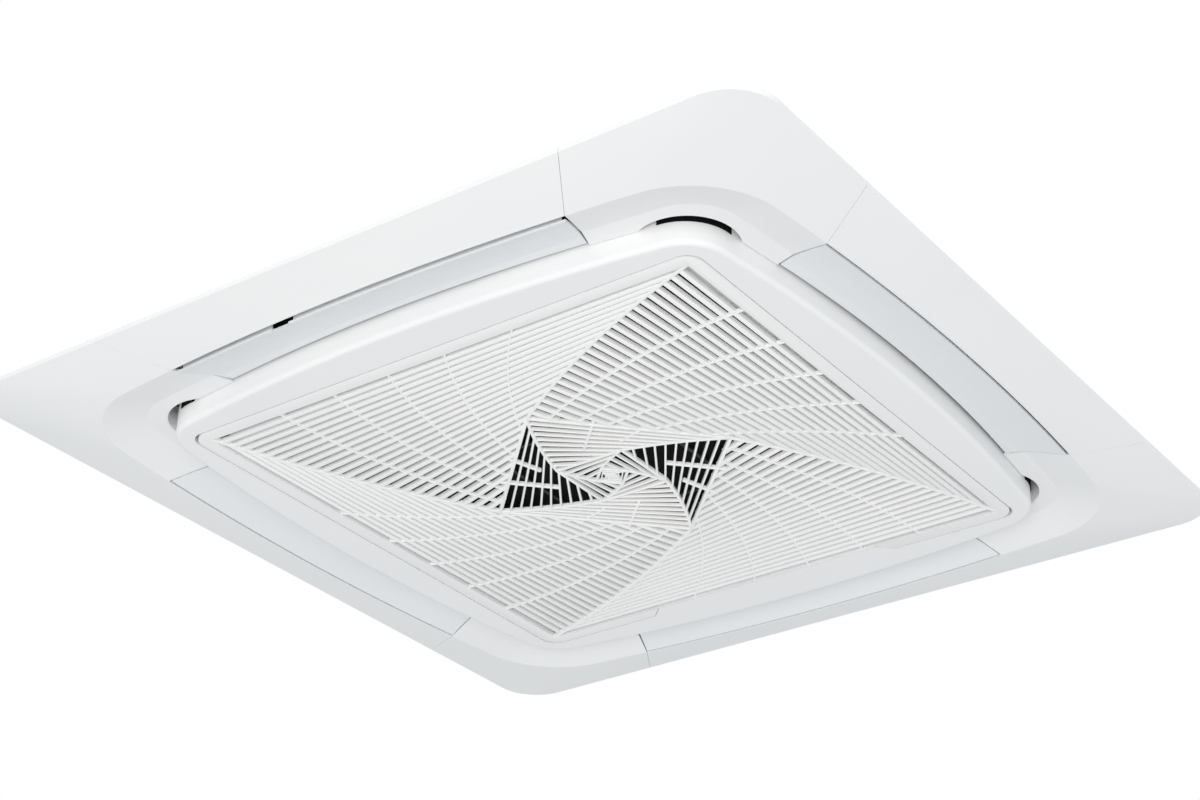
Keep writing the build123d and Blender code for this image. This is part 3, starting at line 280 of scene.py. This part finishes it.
def blended(tree, amount, first, second):
    mix = tree.nodes.new("ShaderNodeMix")
    mix.data_type = "RGBA"
    tree.links.new(amount, mix.inputs["Factor"])
    for label, colour in (("A", first), ("B", second)):
        socket = [s for s in mix.inputs if s.name == label and s.type == "RGBA"][0]
        tree.links.new(colour, socket)
    return [s for s in mix.outputs if s.type == "RGBA"][0]


def along_axes(tree):
    """Distances from the panel's middle, by the names X, Y and Z."""
    apart = tree.nodes.new("ShaderNodeSeparateXYZ")
    tree.links.new(object_place(tree), apart.inputs["Vector"])
    return apart.outputs


def channels(tree, colour):
    tone = tree.nodes.new("ShaderNodeSeparateColor")
    tree.links.new(colour, tone.inputs["Color"])
    return tone.outputs


def surface_group(name, scale_name, scale):
    """A new node group; gives its tree, its way in and its way out."""
    tree = bpy.data.node_groups.new(name, "ShaderNodeTree")
    ways_in = (("Colour", "NodeSocketColor", (0.8, 0.8, 0.8, 1)),
               ("Shade", "NodeSocketColor", (0.4, 0.4, 0.4, 1)),
               ("Roughness", "NodeSocketFloat", 0.5),
               (scale_name, "NodeSocketFloat", scale))
    ways_out = (("Colour", "NodeSocketColor"),
                ("Roughness", "NodeSocketFloat"),
                ("Height", "NodeSocketFloat"))
    for label, kind, value in ways_in:
        tree.interface.new_socket(name=label, in_out="INPUT", socket_type=kind).default_value = value
    for label, kind in ways_out:
        tree.interface.new_socket(name=label, in_out="OUTPUT", socket_type=kind)
    return tree, tree.nodes.new("NodeGroupInput"), tree.nodes.new("NodeGroupOutput")


def rougher(tree, inside, change):
    return calculated(tree, "ADD", inside.outputs["Roughness"], change)


def send(tree, way_out, colour, roughness, height):
    for label, value in (("Colour", colour), ("Roughness", roughness), ("Height", height)):
        tree.links.new(value, way_out.inputs[label])
    return tree


def moulded_skin():
    """Fine spark-eroded grain, with the faint unevenness of a large moulding."""
    tree, inside, out = surface_group("Moulded skin", "Grain Scale", 1500.0)
    flow = spread(tree, noise(tree, 6.0, 2.0), 0.0, 1.0)
    colour = blended(tree, flow, inside.outputs["Colour"], inside.outputs["Shade"])
    roughness = rougher(tree, inside, spread(tree, noise(tree, 35.0, 4.0, 0.6), -0.05, 0.06))
    return send(tree, out, colour, roughness, noise(tree, inside.outputs["Grain Scale"], 2.0, 0.6))


def zinc_spangle():
    """Crystals and light stains of galvanised sheet."""
    tree, inside, out = surface_group("Zinc spangle", "Crystal Scale", 70.0)
    ripple = tree.nodes.new("ShaderNodeTexNoise")
    ripple.inputs["Scale"].default_value = 60.0
    tree.links.new(object_place(tree), ripple.inputs["Vector"])
    stretch = tree.nodes.new("ShaderNodeVectorMath")
    stretch.operation = "SCALE"
    stretch.inputs["Scale"].default_value = 0.01
    tree.links.new(ripple.outputs["Color"], stretch.inputs[0])
    wavy = tree.nodes.new("ShaderNodeVectorMath")
    wavy.operation = "ADD"
    tree.links.new(object_place(tree), wavy.inputs[0])
    tree.links.new(stretch.outputs["Vector"], wavy.inputs[1])
    crystals = tree.nodes.new("ShaderNodeTexVoronoi")
    tree.links.new(inside.outputs["Crystal Scale"], crystals.inputs["Scale"])
    tree.links.new(wavy.outputs["Vector"], crystals.inputs["Vector"])
    tone = channels(tree, crystals.outputs["Color"])
    stain = spread(tree, noise(tree, 9.0, 5.0, 0.65), 0.0, 0.6)
    mixed = calculated(tree, "MULTIPLY", calculated(tree, "ADD", tone["Red"], stain), 0.6)
    colour = blended(tree, mixed, inside.outputs["Colour"], inside.outputs["Shade"])
    roughness = rougher(tree, inside, spread(tree, tone["Green"], -0.08, 0.12, 0.0, 1.0))
    return send(tree, out, colour, roughness, tone["Blue"])


def handled_metal():
    """Drawn or turned metal with dull patches."""
    tree, inside, out = surface_group("Handled metal", "Grain Scale", 900.0)
    patches = spread(tree, noise(tree, 28.0, 6.0, 0.7), 0.0, 1.0, 0.42, 0.68)
    colour = blended(tree, patches, inside.outputs["Colour"], inside.outputs["Shade"])
    roughness = rougher(tree, inside, calculated(tree, "MULTIPLY", patches, 0.22))
    return send(tree, out, colour, roughness, noise(tree, inside.outputs["Grain Scale"], 3.0))


def beaded_foam():
    """Beads of moulded foam, or the fine cells of sheet foam."""
    tree, inside, out = surface_group("Beaded foam", "Bead Scale", 280.0)
    beads = tree.nodes.new("ShaderNodeTexVoronoi")
    tree.links.new(inside.outputs["Bead Scale"], beads.inputs["Scale"])
    tree.links.new(object_place(tree), beads.inputs["Vector"])
    edges = spread(tree, beads.outputs["Distance"], 0.0, 1.0, 0.25, 0.8)
    colour = blended(tree, edges, inside.outputs["Colour"], inside.outputs["Shade"])
    roughness = rougher(tree, inside, spread(tree, noise(tree, 20.0, 3.0), -0.06, 0.06))
    height = calculated(tree, "SUBTRACT", 1.0, beads.outputs["Distance"])
    return send(tree, out, colour, roughness, height)


def crossed_threads():
    """Threads that cross along X and Y."""
    tree, inside, out = surface_group("Crossed threads", "Thread Scale", 2600.0)
    axes = along_axes(tree)
    waves = []
    for axis in ("X", "Y"):
        phase = calculated(tree, "MULTIPLY", axes[axis], inside.outputs["Thread Scale"])
        waves.append(calculated(tree, "SINE", phase))
    height = spread(tree, calculated(tree, "MAXIMUM", *waves), 0.0, 1.0, -0.4, 1.0)
    colour = blended(tree, height, inside.outputs["Shade"], inside.outputs["Colour"])
    roughness = rougher(tree, inside, spread(tree, noise(tree, 30.0, 3.0), -0.08, 0.08))
    return send(tree, out, colour, roughness, height)


def two_tone_frame():
    """Pale moulding round the outside, dark ribs inside it."""
    tree, inside, out = surface_group("Two tone frame", "Inside Half", 0.2745)
    axes = along_axes(tree)
    wide = calculated(tree, "ABSOLUTE", axes["X"])
    deep = calculated(tree, "ABSOLUTE", axes["Y"])
    furthest = calculated(tree, "MAXIMUM", wide, deep)
    outer = calculated(tree, "GREATER_THAN", furthest, inside.outputs["Inside Half"])
    colour = blended(tree, outer, inside.outputs["Shade"], inside.outputs["Colour"])
    roughness = rougher(tree, inside, spread(tree, noise(tree, 40.0, 3.0), -0.06, 0.06))
    return send(tree, out, colour, roughness, noise(tree, 1200.0, 2.0, 0.6))


def fin_stack():
    """Upright fins: they step along X on the front and back of the coil and along Y on its sides; the dark
    second shade between them is painted shade in their gaps.
    """
    tree, inside, out = surface_group("Fin stack", "Fin Scale", 3140.0)
    axes = along_axes(tree)
    wide = calculated(tree, "ABSOLUTE", axes["X"])
    deep = calculated(tree, "ABSOLUTE", axes["Y"])
    on_side = calculated(tree, "GREATER_THAN", wide, deep)
    along_x = calculated(tree, "MULTIPLY", axes["X"], calculated(tree, "SUBTRACT", 1.0, on_side))
    along_y = calculated(tree, "MULTIPLY", axes["Y"], on_side)
    along = calculated(tree, "ADD", along_x, along_y)
    phase = calculated(tree, "MULTIPLY", along, inside.outputs["Fin Scale"])
    fin_ridge_and_painted_gap = spread(tree, calculated(tree, "SINE", phase), 0.0, 1.0, -0.6, 0.7)
    colour = blended(tree, fin_ridge_and_painted_gap, inside.outputs["Shade"], inside.outputs["Colour"])
    roughness = rougher(tree, inside, spread(tree, noise(tree, 25.0, 4.0), -0.08, 0.12))
    return send(tree, out, colour, roughness, fin_ridge_and_painted_gap)


def printed_board():
    """Solder mask with rows of pads and tracks."""
    tree, inside, out = surface_group("Printed board", "Track Scale", 160.0)
    tracks = tree.nodes.new("ShaderNodeTexBrick")
    tracks.inputs["Color1"].default_value = (0, 0, 0, 1)
    tracks.inputs["Color2"].default_value = (0.15, 0.15, 0.15, 1)
    tracks.inputs["Mortar"].default_value = (1, 1, 1, 1)
    tracks.inputs["Mortar Size"].default_value = 0.03
    tree.links.new(inside.outputs["Track Scale"], tracks.inputs["Scale"])
    tree.links.new(object_place(tree), tracks.inputs["Vector"])
    tone = channels(tree, tracks.outputs["Color"])
    colour = blended(tree, tone["Red"], inside.outputs["Colour"], inside.outputs["Shade"])
    roughness = rougher(tree, inside, spread(tree, noise(tree, 50.0, 2.0), -0.05, 0.05))
    return send(tree, out, colour, roughness, tone["Red"])


relief_distance = 0.0005
coat_roughness = 0.25


def finish_of(name, group, colour, shade, roughness, bump, scale=None, metallic=0.0, coat=0.0, specular=0.5):
    """A material whose colour, roughness and relief come from one of the groups."""
    material = bpy.data.materials.new(name)
    material.use_nodes = True
    tree = material.node_tree
    shader = tree.nodes["Principled BSDF"]
    shader.inputs["Metallic"].default_value = metallic
    shader.inputs["Specular IOR Level"].default_value = specular
    if coat:
        shader.inputs["Coat Weight"].default_value = coat
        shader.inputs["Coat Roughness"].default_value = coat_roughness
    surface = tree.nodes.new("ShaderNodeGroup")
    surface.node_tree = group
    surface.inputs["Colour"].default_value = (*colour, 1)
    surface.inputs["Shade"].default_value = (*shade, 1)
    surface.inputs["Roughness"].default_value = roughness
    if scale:
        surface.inputs[-1].default_value = scale
    relief = tree.nodes.new("ShaderNodeBump")
    relief.inputs["Strength"].default_value = bump
    relief.inputs["Distance"].default_value = relief_distance
    tree.links.new(surface.outputs["Height"], relief.inputs["Height"])
    tree.links.new(surface.outputs["Colour"], shader.inputs["Base Color"])
    tree.links.new(surface.outputs["Roughness"], shader.inputs["Roughness"])
    tree.links.new(relief.outputs["Normal"], shader.inputs["Normal"])
    return material


# ---- Finishes: colour, second shade, roughness, strength of the relief and its scale ----
skin_group = moulded_skin()
zinc_group = zinc_spangle()
metal_group = handled_metal()
foam_group = beaded_foam()
thread_group = crossed_threads()
frame_group = two_tone_frame()
fin_group = fin_stack()
board_group = printed_board()
finishes = {
    "panel_white": finish_of("Panel white", skin_group, (0.83, 0.835, 0.84), (0.81, 0.82, 0.83),
                             0.42, 0.06, 1400.0),
    "cover_white": finish_of("Cover white", skin_group, (0.83, 0.835, 0.84), (0.81, 0.82, 0.83),
                             0.42, 0.06, 1400.0),
    # darker and bluer than the panel white: painted shade on the flaps
    "flap_white": finish_of("Flap white", skin_group, (0.78, 0.80, 0.815), (0.76, 0.785, 0.805),
                            0.36, 0.04, 1800.0),
    "grille_white": finish_of("Grille white", skin_group, (0.84, 0.845, 0.845), (0.82, 0.825, 0.83),
                              0.45, 0.06, 1400.0),
    # lighter than the grille white: painted light that lifts the shade in the gaps between the slats
    "slat_white": finish_of("Slat white", skin_group, (0.885, 0.89, 0.885), (0.865, 0.87, 0.87),
                            0.45, 0.06, 1400.0),
    "drive_plastic": finish_of("Drive plastic", skin_group, (0.05, 0.09, 0.22), (0.04, 0.07, 0.18),
                               0.5, 0.15, 900.0),
    "shaft_plastic": finish_of("Shaft plastic", skin_group, (0.75, 0.74, 0.70), (0.70, 0.69, 0.65),
                               0.4, 0.08, 1200.0),
    "black_plastic": finish_of("Black plastic", skin_group, (0.02, 0.02, 0.022), (0.03, 0.03, 0.032),
                               0.5, 0.2, 1100.0),
    "fan_plastic": finish_of("Fan plastic", skin_group, (0.035, 0.036, 0.04), (0.045, 0.046, 0.05),
                             0.48, 0.15, 900.0),
    "pump_plastic": finish_of("Pump plastic", skin_group, (0.68, 0.68, 0.65), (0.62, 0.62, 0.59),
                              0.45, 0.1, 1000.0),
    "float_plastic": finish_of("Float plastic", skin_group, (0.72, 0.20, 0.03), (0.64, 0.17, 0.03),
                               0.45, 0.1, 1000.0),
    "mount_rubber": finish_of("Mount rubber", skin_group, (0.018, 0.018, 0.018), (0.03, 0.03, 0.03),
                              0.75, 0.3, 700.0),
    "motor_casing": finish_of("Motor casing", skin_group, (0.05, 0.052, 0.056), (0.07, 0.072, 0.075),
                              0.4, 0.3, 600.0, coat=0.3),
    "filter_mesh": finish_of("Filter mesh", thread_group, (0.006, 0.006, 0.0065), (0.001, 0.001, 0.001),
                             0.7, 0.6, 3100.0, specular=0.1),
    "foam": finish_of("Sheet foam", foam_group, (0.006, 0.006, 0.007), (0.003, 0.003, 0.003),
                      0.9, 0.6, 900.0, specular=0.1),
    "drain_foam": finish_of("Moulded foam", foam_group, (0.045, 0.046, 0.05), (0.025, 0.026, 0.028),
                            0.75, 0.5, 260.0),
    "galvanised": finish_of("Galvanised sheet", zinc_group, (0.56, 0.58, 0.60), (0.40, 0.42, 0.44),
                            0.38, 0.12, 75.0, metallic=0.85),
    "bare_steel": finish_of("Zinc plated steel", metal_group, (0.62, 0.62, 0.60), (0.45, 0.45, 0.44),
                            0.28, 0.1, metallic=1.0),
    # the dark second shade is painted shade in the gaps between the fins
    "coil_fins": finish_of("Coil fins", fin_group, (0.72, 0.74, 0.76), (0.10, 0.11, 0.12),
                           0.35, 0.8, 3490.0, metallic=0.7),
    "copper": finish_of("Drawn copper", metal_group, (0.80, 0.40, 0.24), (0.50, 0.22, 0.12),
                        0.26, 0.08, metallic=1.0),
    "brass": finish_of("Turned brass", metal_group, (0.78, 0.58, 0.27), (0.60, 0.43, 0.18),
                       0.24, 0.08, metallic=1.0),
    "board_green": finish_of("Printed board", board_group, (0.02, 0.16, 0.06), (0.10, 0.30, 0.14),
                             0.35, 0.3, 170.0),
}
for subpart in frame["record"]["subparts"]:
    for slot in nodes[subpart["node"]].material_slots:
        slot.material = finishes[subpart["material_slot"]]

nodes["filter_frame"].material_slots[0].material = finish_of(
    "Filter frame plastic", frame_group, (0.78, 0.79, 0.79), (0.014, 0.014, 0.015), 0.5, 0.1)

# ---- Camera, at the photograph's place below the front right corner ----
camera_place = (1.35145, -1.85661, -1.24237)
camera_sideways = (0.81060, 0.58533, 0.01768)
camera_upwards = (0.27700, -0.40986, 0.86907)
camera_data = bpy.data.cameras.new("Camera")
camera_data.lens = 74.42
camera_data.sensor_width = 36.0
camera_data.clip_end = 50.0
camera = bpy.data.objects.new("Camera", camera_data)
bpy.context.scene.collection.objects.link(camera)
sideways = Vector(camera_sideways).normalized()
backwards = sideways.cross(Vector(camera_upwards).normalized()).normalized()
upwards = backwards.cross(sideways)
camera_turn = Matrix((sideways, upwards, backwards)).transposed().to_4x4()
camera.matrix_world = Matrix.Translation(camera_place) @ camera_turn
bpy.context.scene.camera = camera
bpy.context.scene.view_settings.view_transform = "Standard"

# ---- The room: a ceiling seen only from below, a floor seen only from above, soft light ----
ceiling_height = 0.0006
floor_height = -2.4
room_half = 6.0
cut_out_half = 0.455
floor_colour = (0.93, 0.93, 0.93)
backdrop_colour = (1, 1, 1)
studio_colour = (0.96, 0.983, 1.0)
studio_strength = 0.745


def one_sided(name, seen_shader, colour):
    """Seen only by the camera and only from its front; everything else passes through it."""
    material = bpy.data.materials.new(name)
    material.use_nodes = True
    tree = material.node_tree
    tree.nodes.remove(tree.nodes["Principled BSDF"])
    shown = tree.nodes.new(seen_shader)
    shown.inputs["Color"].default_value = (*colour, 1)
    clear = tree.nodes.new("ShaderNodeBsdfTransparent")
    path = tree.nodes.new("ShaderNodeLightPath")
    side = tree.nodes.new("ShaderNodeNewGeometry")
    front = tree.nodes.new("ShaderNodeMath")
    front.operation = "SUBTRACT"
    front.use_clamp = True
    whole = tree.nodes.new("ShaderNodeMixShader")
    tree.links.new(path.outputs["Is Camera Ray"], front.inputs[0])
    tree.links.new(side.outputs["Backfacing"], front.inputs[1])
    tree.links.new(front.outputs["Value"], whole.inputs["Fac"])
    tree.links.new(clear.outputs["BSDF"], whole.inputs[1])
    tree.links.new(shown.outputs[0], whole.inputs[2])
    tree.links.new(whole.outputs["Shader"], tree.nodes["Material Output"].inputs["Surface"])
    return material


def ceiling_plane():
    """A wide plane that faces down, with a hole for the unit."""
    put_down()
    bpy.ops.mesh.primitive_plane_add(size=2 * room_half, location=(0, 0, ceiling_height), rotation=(pi, 0, 0))
    plane = settle(bpy.context.object)
    edit_all(plane)
    bpy.ops.mesh.inset(thickness=room_half - cut_out_half, use_even_offset=True)
    bpy.ops.mesh.delete(type="FACE")
    leave_edit()
    plane.name = "ceiling_plane"
    plane.data.materials.append(one_sided("Ceiling", "ShaderNodeEmission", backdrop_colour))
    return plane


def floor_plane():
    put_down()
    bpy.ops.mesh.primitive_plane_add(size=2 * room_half, location=(0, 0, floor_height))
    plane = settle(bpy.context.object)
    plane.name = "floor_plane"
    plane.data.materials.append(one_sided("Floor", "ShaderNodeBsdfDiffuse", floor_colour))
    return plane


ceiling = ceiling_plane()
floor = floor_plane()


def studio_world():
    """Even light from all round; the camera sees it as a plain white."""
    world = bpy.data.worlds.new("Studio")
    world.use_nodes = True
    tree = world.node_tree
    plain = tree.nodes["Background"]
    plain.inputs["Color"].default_value = (*studio_colour, 1)
    plain.inputs["Strength"].default_value = studio_strength
    shown = tree.nodes.new("ShaderNodeBackground")
    shown.inputs["Color"].default_value = (*backdrop_colour, 1)
    shown.inputs["Strength"].default_value = 1.0
    path = tree.nodes.new("ShaderNodeLightPath")
    seen = calculated(tree, "MAXIMUM", path.outputs["Is Camera Ray"], path.outputs["Is Transmission Ray"])
    mixed = tree.nodes.new("ShaderNodeMixShader")
    tree.links.new(seen, mixed.inputs["Fac"])
    tree.links.new(plain.outputs["Background"], mixed.inputs[1])
    tree.links.new(shown.outputs["Background"], mixed.inputs[2])
    tree.links.new(mixed.outputs["Shader"], tree.nodes["World Output"].inputs["Surface"])
    return world


def lamp(name, stand, aim, size, energy, colour):
    data = bpy.data.lights.new(name, "AREA")
    data.shape = "DISK"
    data.size = size
    data.energy = energy
    data.color = colour
    lamp_object = bpy.data.objects.new(name, data)
    lamp_object.location = stand
    lamp_object.rotation_euler = (Vector(aim) - Vector(stand)).to_track_quat("-Z", "Y").to_euler()
    bpy.context.scene.collection.objects.link(lamp_object)


bpy.context.scene.world = studio_world()
lamp("Key lamp", stand=(2.1, -3.95, -2.15), aim=(0, 0, 0), size=2.6, energy=120.0, colour=(1.0, 0.965, 0.92))
lamp("Top lamp", stand=(1.4, -1.0, 2.4), aim=(0, 0, 0.1), size=1.4, energy=24.0, colour=(1.0, 0.99, 0.97))


# ---- Bars that the grille, the slots and the flap ribs are made of ----
def straight_bar(start, end, width, low, high, rounding=bar_rounding):
    """A bar with rounded lower edges between two points of a level face."""
    put_down()
    along = end - start
    middle = (start + end) / 2
    bpy.ops.mesh.primitive_cube_add(size=1, location=(0, 0, 0))
    bar = bpy.context.object
    bar.scale = (along.length, width, high - low)
    settle(bar)
    select_in(bar, "EDGE", lambda point: point.z < 0)
    bpy.ops.mesh.bevel(offset=rounding, segments=2, affect="EDGES")
    leave_edit()
    bar.rotation_euler = (0, 0, atan2(along.y, along.x))
    bar.location = (middle.x, middle.y, (low + high) / 2)
    return settle(bar)


def curved_bar(centre, radius, start, end, width, low, high, rounding=bar_rounding, step=arc_step):
    """A bar spun round its centre from start to end, with rounded lower edges."""
    put_down()
    first = atan2(start.y - centre.y, start.x - centre.x)
    sweep = atan2(end.y - centre.y, end.x - centre.x) - first
    sweep = (sweep + pi) % (2 * pi) - pi
    bpy.ops.mesh.primitive_plane_add(size=1, location=(0, 0, 0), rotation=(pi / 2, 0, 0))
    bar = bpy.context.object
    settle(bar)
    bar.scale = (width, 1, high - low)
    settle(bar)
    select_in(bar, "VERT", lambda point: point.z < 0)
    bpy.ops.mesh.bevel(offset=rounding, segments=2, affect="VERTICES")
    leave_edit()
    bar.location = (radius, 0, (low + high) / 2)
    settle(bar)
    bar.rotation_euler = (0, 0, first)
    bar.location = (centre.x, centre.y, 0)
    settle(bar)
    edit_all(bar)
    steps = max(3, round(abs(sweep) * radius / step))
    bpy.ops.mesh.spin(steps=steps, angle=-sweep, center=(centre.x, centre.y, 0), axis=(0, 0, 1))
    leave_edit()
    return tidy_faces(bar)


# ---- Intake grille: a quarter of it is modelled and repeated ----
slat_low = slat_recess - face_depth
slat_high = slat_low + inner_slat_depth
edge_low = slat_low - edge_drop
rib_low = slat_low + rib_lift
rib_high = slat_high + rib_back


def spiral_arc(reach, inner):
    """Centre and radius of the blade edge from (reach, -reach) to (0, -inner)."""
    start = Vector((reach, -reach))
    end = Vector((0, -inner))
    chord = end - start
    sagitta = whirl_bulge * chord.length
    radius = (chord.length**2 / 4 + sagitta**2) / (2 * sagitta)
    outward = Vector((-chord.y, chord.x)).normalized()
    if outward.y > 0:
        outward = -outward
    return (start + end) / 2 + outward * (sagitta - radius), radius


def meet_arc(point, heading, centre, radius):
    """Where a line first meets a circle."""
    offset = point - centre
    along = offset.dot(heading)
    root = sqrt(max(along**2 - offset.dot(offset) + radius**2, 0))
    return point + heading * (-along - root)


def slat_ends(level, index):
    """Both ends of a slat's middle line, from one blade edge to the other."""
    reach = whirl_diagonals[level] / sqrt(2)
    inner = whirl_diagonals[level + 1]
    centre, radius = spiral_arc(reach, inner)
    left_centre = Vector((centre.y, -centre.x))
    part = index / whirl_slots[level]
    angle = radians(fan_linear * part + fan_square * part**2)
    heading = Vector((cos(angle), -sin(angle)))
    foot = meet_arc(Vector((-2 * reach, -reach * (1 - part))), Vector((1, 0)), left_centre, radius)
    end = meet_arc(foot, heading, centre, radius)
    inside = foot + heading * ((-inner - foot.x - foot.y) / (heading.x + heading.y))
    if end.x < 0 or end.y > -inner or inside.x < 0:
        end = inside
    return foot, end


def arc_through(a, b, c):
    """Centre and radius of the circle through three points."""
    a_square, b_square, c_square = a.dot(a), b.dot(b), c.dot(c)
    divisor = 2 * (a.x * (b.y - c.y) + b.x * (c.y - a.y) + c.x * (a.y - b.y))
    centre = Vector(((a_square * (b.y - c.y) + b_square * (c.y - a.y) + c_square * (a.y - b.y)) / divisor,
                     (a_square * (c.x - b.x) + b_square * (a.x - c.x) + c_square * (b.x - a.x)) / divisor))
    return centre, (a - centre).length


def grille_slats():
    bars = []
    for level, count in enumerate(whirl_slots):
        for index in range(0 if level else 1, count):
            foot, end = slat_ends(level, index)
            width = slat_widths[level]
            if (end - foot).length > width:
                high = slat_low + slat_depths[level]
                bar = straight_bar(foot, end, width, slat_low, high, width / rounding_part)
                bars.append(turned(bar, whirl_turn * level))
    return repeated(joined(bars))


def blade_edges():
    """The blades' curved edges, and the straight sides of the square inside them."""
    bars = []
    for level, width in enumerate(edge_ribs):
        reach = whirl_diagonals[level] / sqrt(2)
        inner = whirl_diagonals[level + 1]
        centre, radius = spiral_arc(reach, inner)
        start, end = Vector((reach, -reach)), Vector((0, -inner))
        bar = curved_bar(centre, radius, start, end, width, edge_low, rib_high)
        inner_side = straight_bar(end, Vector((inner, 0)), width, edge_low - side_drop, rib_high)
        bars += [turned(bar, whirl_turn * level), turned(inner_side, whirl_turn * level)]
    return repeated(joined(bars))


def cross_ribs():
    bars = []
    inner = whirl_diagonals[1]
    for start, end in zip(rib_starts, rib_ends):
        first = Vector((-pattern_half + 2 * pattern_half * start, -pattern_half))
        last = Vector((-inner * (1 - end), -inner * end))
        chord = last - first
        middle = (first + last) / 2 + Vector((-abs(chord.y), -abs(chord.x) * rib_lean)) * rib_bend
        centre, radius = arc_through(first, middle, last)
        bars.append(curved_bar(centre, radius, first, last, cross_rib, rib_low, rib_high, rib_rounding))
    for first, last in inner_ribs:
        bars.append(straight_bar(Vector(first), Vector(last), inner_rib, rib_low, rib_high, rib_rounding))
    return repeated(joined(bars))


def middle_boss():
    """Small plate with rounded edges that the innermost blades end in."""
    put_down()
    width = whirl_diagonals[-1] * sqrt(2)
    bpy.ops.mesh.primitive_cube_add(size=1, location=(0, 0, (edge_low + slat_high) / 2))
    boss = bpy.context.object
    boss.scale = (width, width, slat_high - edge_low)
    settle(boss)
    bevel = boss.modifiers.new("Rounded edges", "BEVEL")
    bevel.width = boss_rounding
    bevel.segments = boss_segments
    bevel.limit_method = "ANGLE"
    bevel.angle_limit = smooth_angle
    bevel.use_clamp_overlap = True
    bpy.ops.object.modifier_apply(modifier=bevel.name)
    return boss


def edges_only(outline):
    edit_all(outline)
    bpy.ops.mesh.dissolve_faces()
    bpy.ops.mesh.delete(type="ONLY_FACE")
    leave_edit()
    return outline


def border_outline():
    """Outline of the grille: a rounded square with the finger recess in its back side."""
    put_down()
    bpy.ops.mesh.primitive_plane_add(size=2 * grille_half, location=(0, 0, -face_depth))
    outline = settle(bpy.context.object)
    edit_all(outline, "VERT")
    bpy.ops.mesh.bevel(offset=grille_corner, segments=corner_segments, affect="VERTICES")
    for across in (-recess_half - recess_depth, -recess_half, recess_half, recess_half + recess_depth):
        cut_through((across, 0, 0), (1, 0, 0))
    leave_edit()
    select_in(outline, "VERT", at_recess)
    bpy.ops.transform.translate(value=(0, -recess_depth, 0))
    leave_edit()
    return edges_only(outline)


def at_recess(point):
    return point.y > grille_half - near and abs(point.x) < recess_half + near


def in_pocket(point):
    return point.y < pocket_inside and abs(abs(point.x) - pocket_place) < pocket_half


def grille_border():
    """Frame of the grille: the skin below the hinge pockets first, then the rest of its height."""
    outline = border_outline()
    put_down()
    bpy.ops.mesh.primitive_plane_add(size=2 * pattern_half, location=(0, 0, -face_depth))
    hole = edges_only(settle(bpy.context.object))
    ring = joined([outline, hole])
    edit_all(ring, "EDGE")
    bpy.ops.mesh.fill(use_beauty=True)
    for side in (-1, 1):
        for edge in (-pocket_half, pocket_half):
            cut_through((side * pocket_place + edge, 0, 0), (1, 0, 0))
    cut_through((0, pocket_inside, 0), (0, 1, 0))
    bpy.ops.mesh.select_all(action="SELECT")
    raise_faces(pocket_floor)
    leave_edit()
    floor_level = pocket_floor - face_depth
    select_in(ring, "FACE", lambda point: abs(point.z - floor_level) < hair and not in_pocket(point))
    raise_faces(border_depth - pocket_floor)
    leave_edit()
    tidy_faces(ring)
    edit_all(ring)
    bpy.ops.mesh.dissolve_limited(angle_limit=flat_angle)
    leave_edit()
    select_in(ring, "EDGE", lambda point: point.z < hair - face_depth)
    bpy.ops.mesh.bevel(offset=edge_rounding, segments=edge_segments, affect="EDGES", clamp_overlap=True)
    leave_edit()
    return ring


place(grille_slats(), "grille_slats", "grille", "slat_white")
place(blade_edges(), "grille_blade_edges", "grille", "slat_white")
place(cross_ribs(), "grille_cross_ribs", "grille", "slat_white")
place(middle_boss(), "grille_middle_boss", "grille", "grille_white")
place(grille_border(), "grille_border", "grille", "grille_white", ("intake_grille",))


# ---- Corner slots of the panel: black foam strips on the centre frame, painted in as the shade deep in the slots, and the wall along the cover's slot ----
def corner_arc(centre, radius, turn, thickness, low, high):
    middle = Vector((centre, -centre))
    start, end = (middle + radius * Vector((cos(radians(angle)), sin(radians(angle)))) for angle in turn)
    return curved_bar(middle, radius, start, end, thickness, low, high, thickness / rounding_part, slot_step)


for index, corner in enumerate(shade_strip_turns):
    # a black strip in the foam finish, painted shade where the slot goes deep
    strip = corner_arc(ring_corner, ring_radius + shade_strip_away, shade_strip_turns[corner], shade_strip_thickness, shade_strip_low,
                       shade_strip_high)
    place(turned(strip, 90 * index), "slot_painted_shade_" + corner, "unit", "foam")
    if corner != "front_right":
        wall = corner_arc(slot_centre, slot_radius - slot_wall / 2, slot_turn, slot_wall, slot_low, slot_high)
        place(turned(wall, 90 * index), "slot_wall_" + corner, "unit", "cover_white")


# ---- Rib on each flap, broken at the front flap's notch ----
def flap_rib(run):
    middle = Vector((0, flap_bow - flap_mid))
    radius = flap_bow - flap_rib_inset
    start, end = (Vector((x, middle.y - sqrt(radius**2 - x**2))) for x in run)
    return curved_bar(middle, radius, start, end, flap_rib_width, flap_rib_low, flap_rib_high,
                      flap_rib_rounding, flap_rib_step)


for index, side in enumerate(("front", "right", "back", "left")):
    runs = flap_rib_runs if side == "front" else ((flap_rib_runs[0][0], flap_rib_runs[-1][1]),)
    rib = joined([flap_rib(run) for run in runs])
    hinge = Matrix.Translation((0, flap_hinge_y, 0))
    opened = Matrix.Rotation(radians(flap_turns[index]), 4, "X")
    rib.matrix_world = Matrix.Rotation(radians(90 * index), 4, "Z") @ hinge @ opened @ hinge.inverted()
    place(settle(rib), "flap_rib_" + side, "flap_" + side, "flap_white")
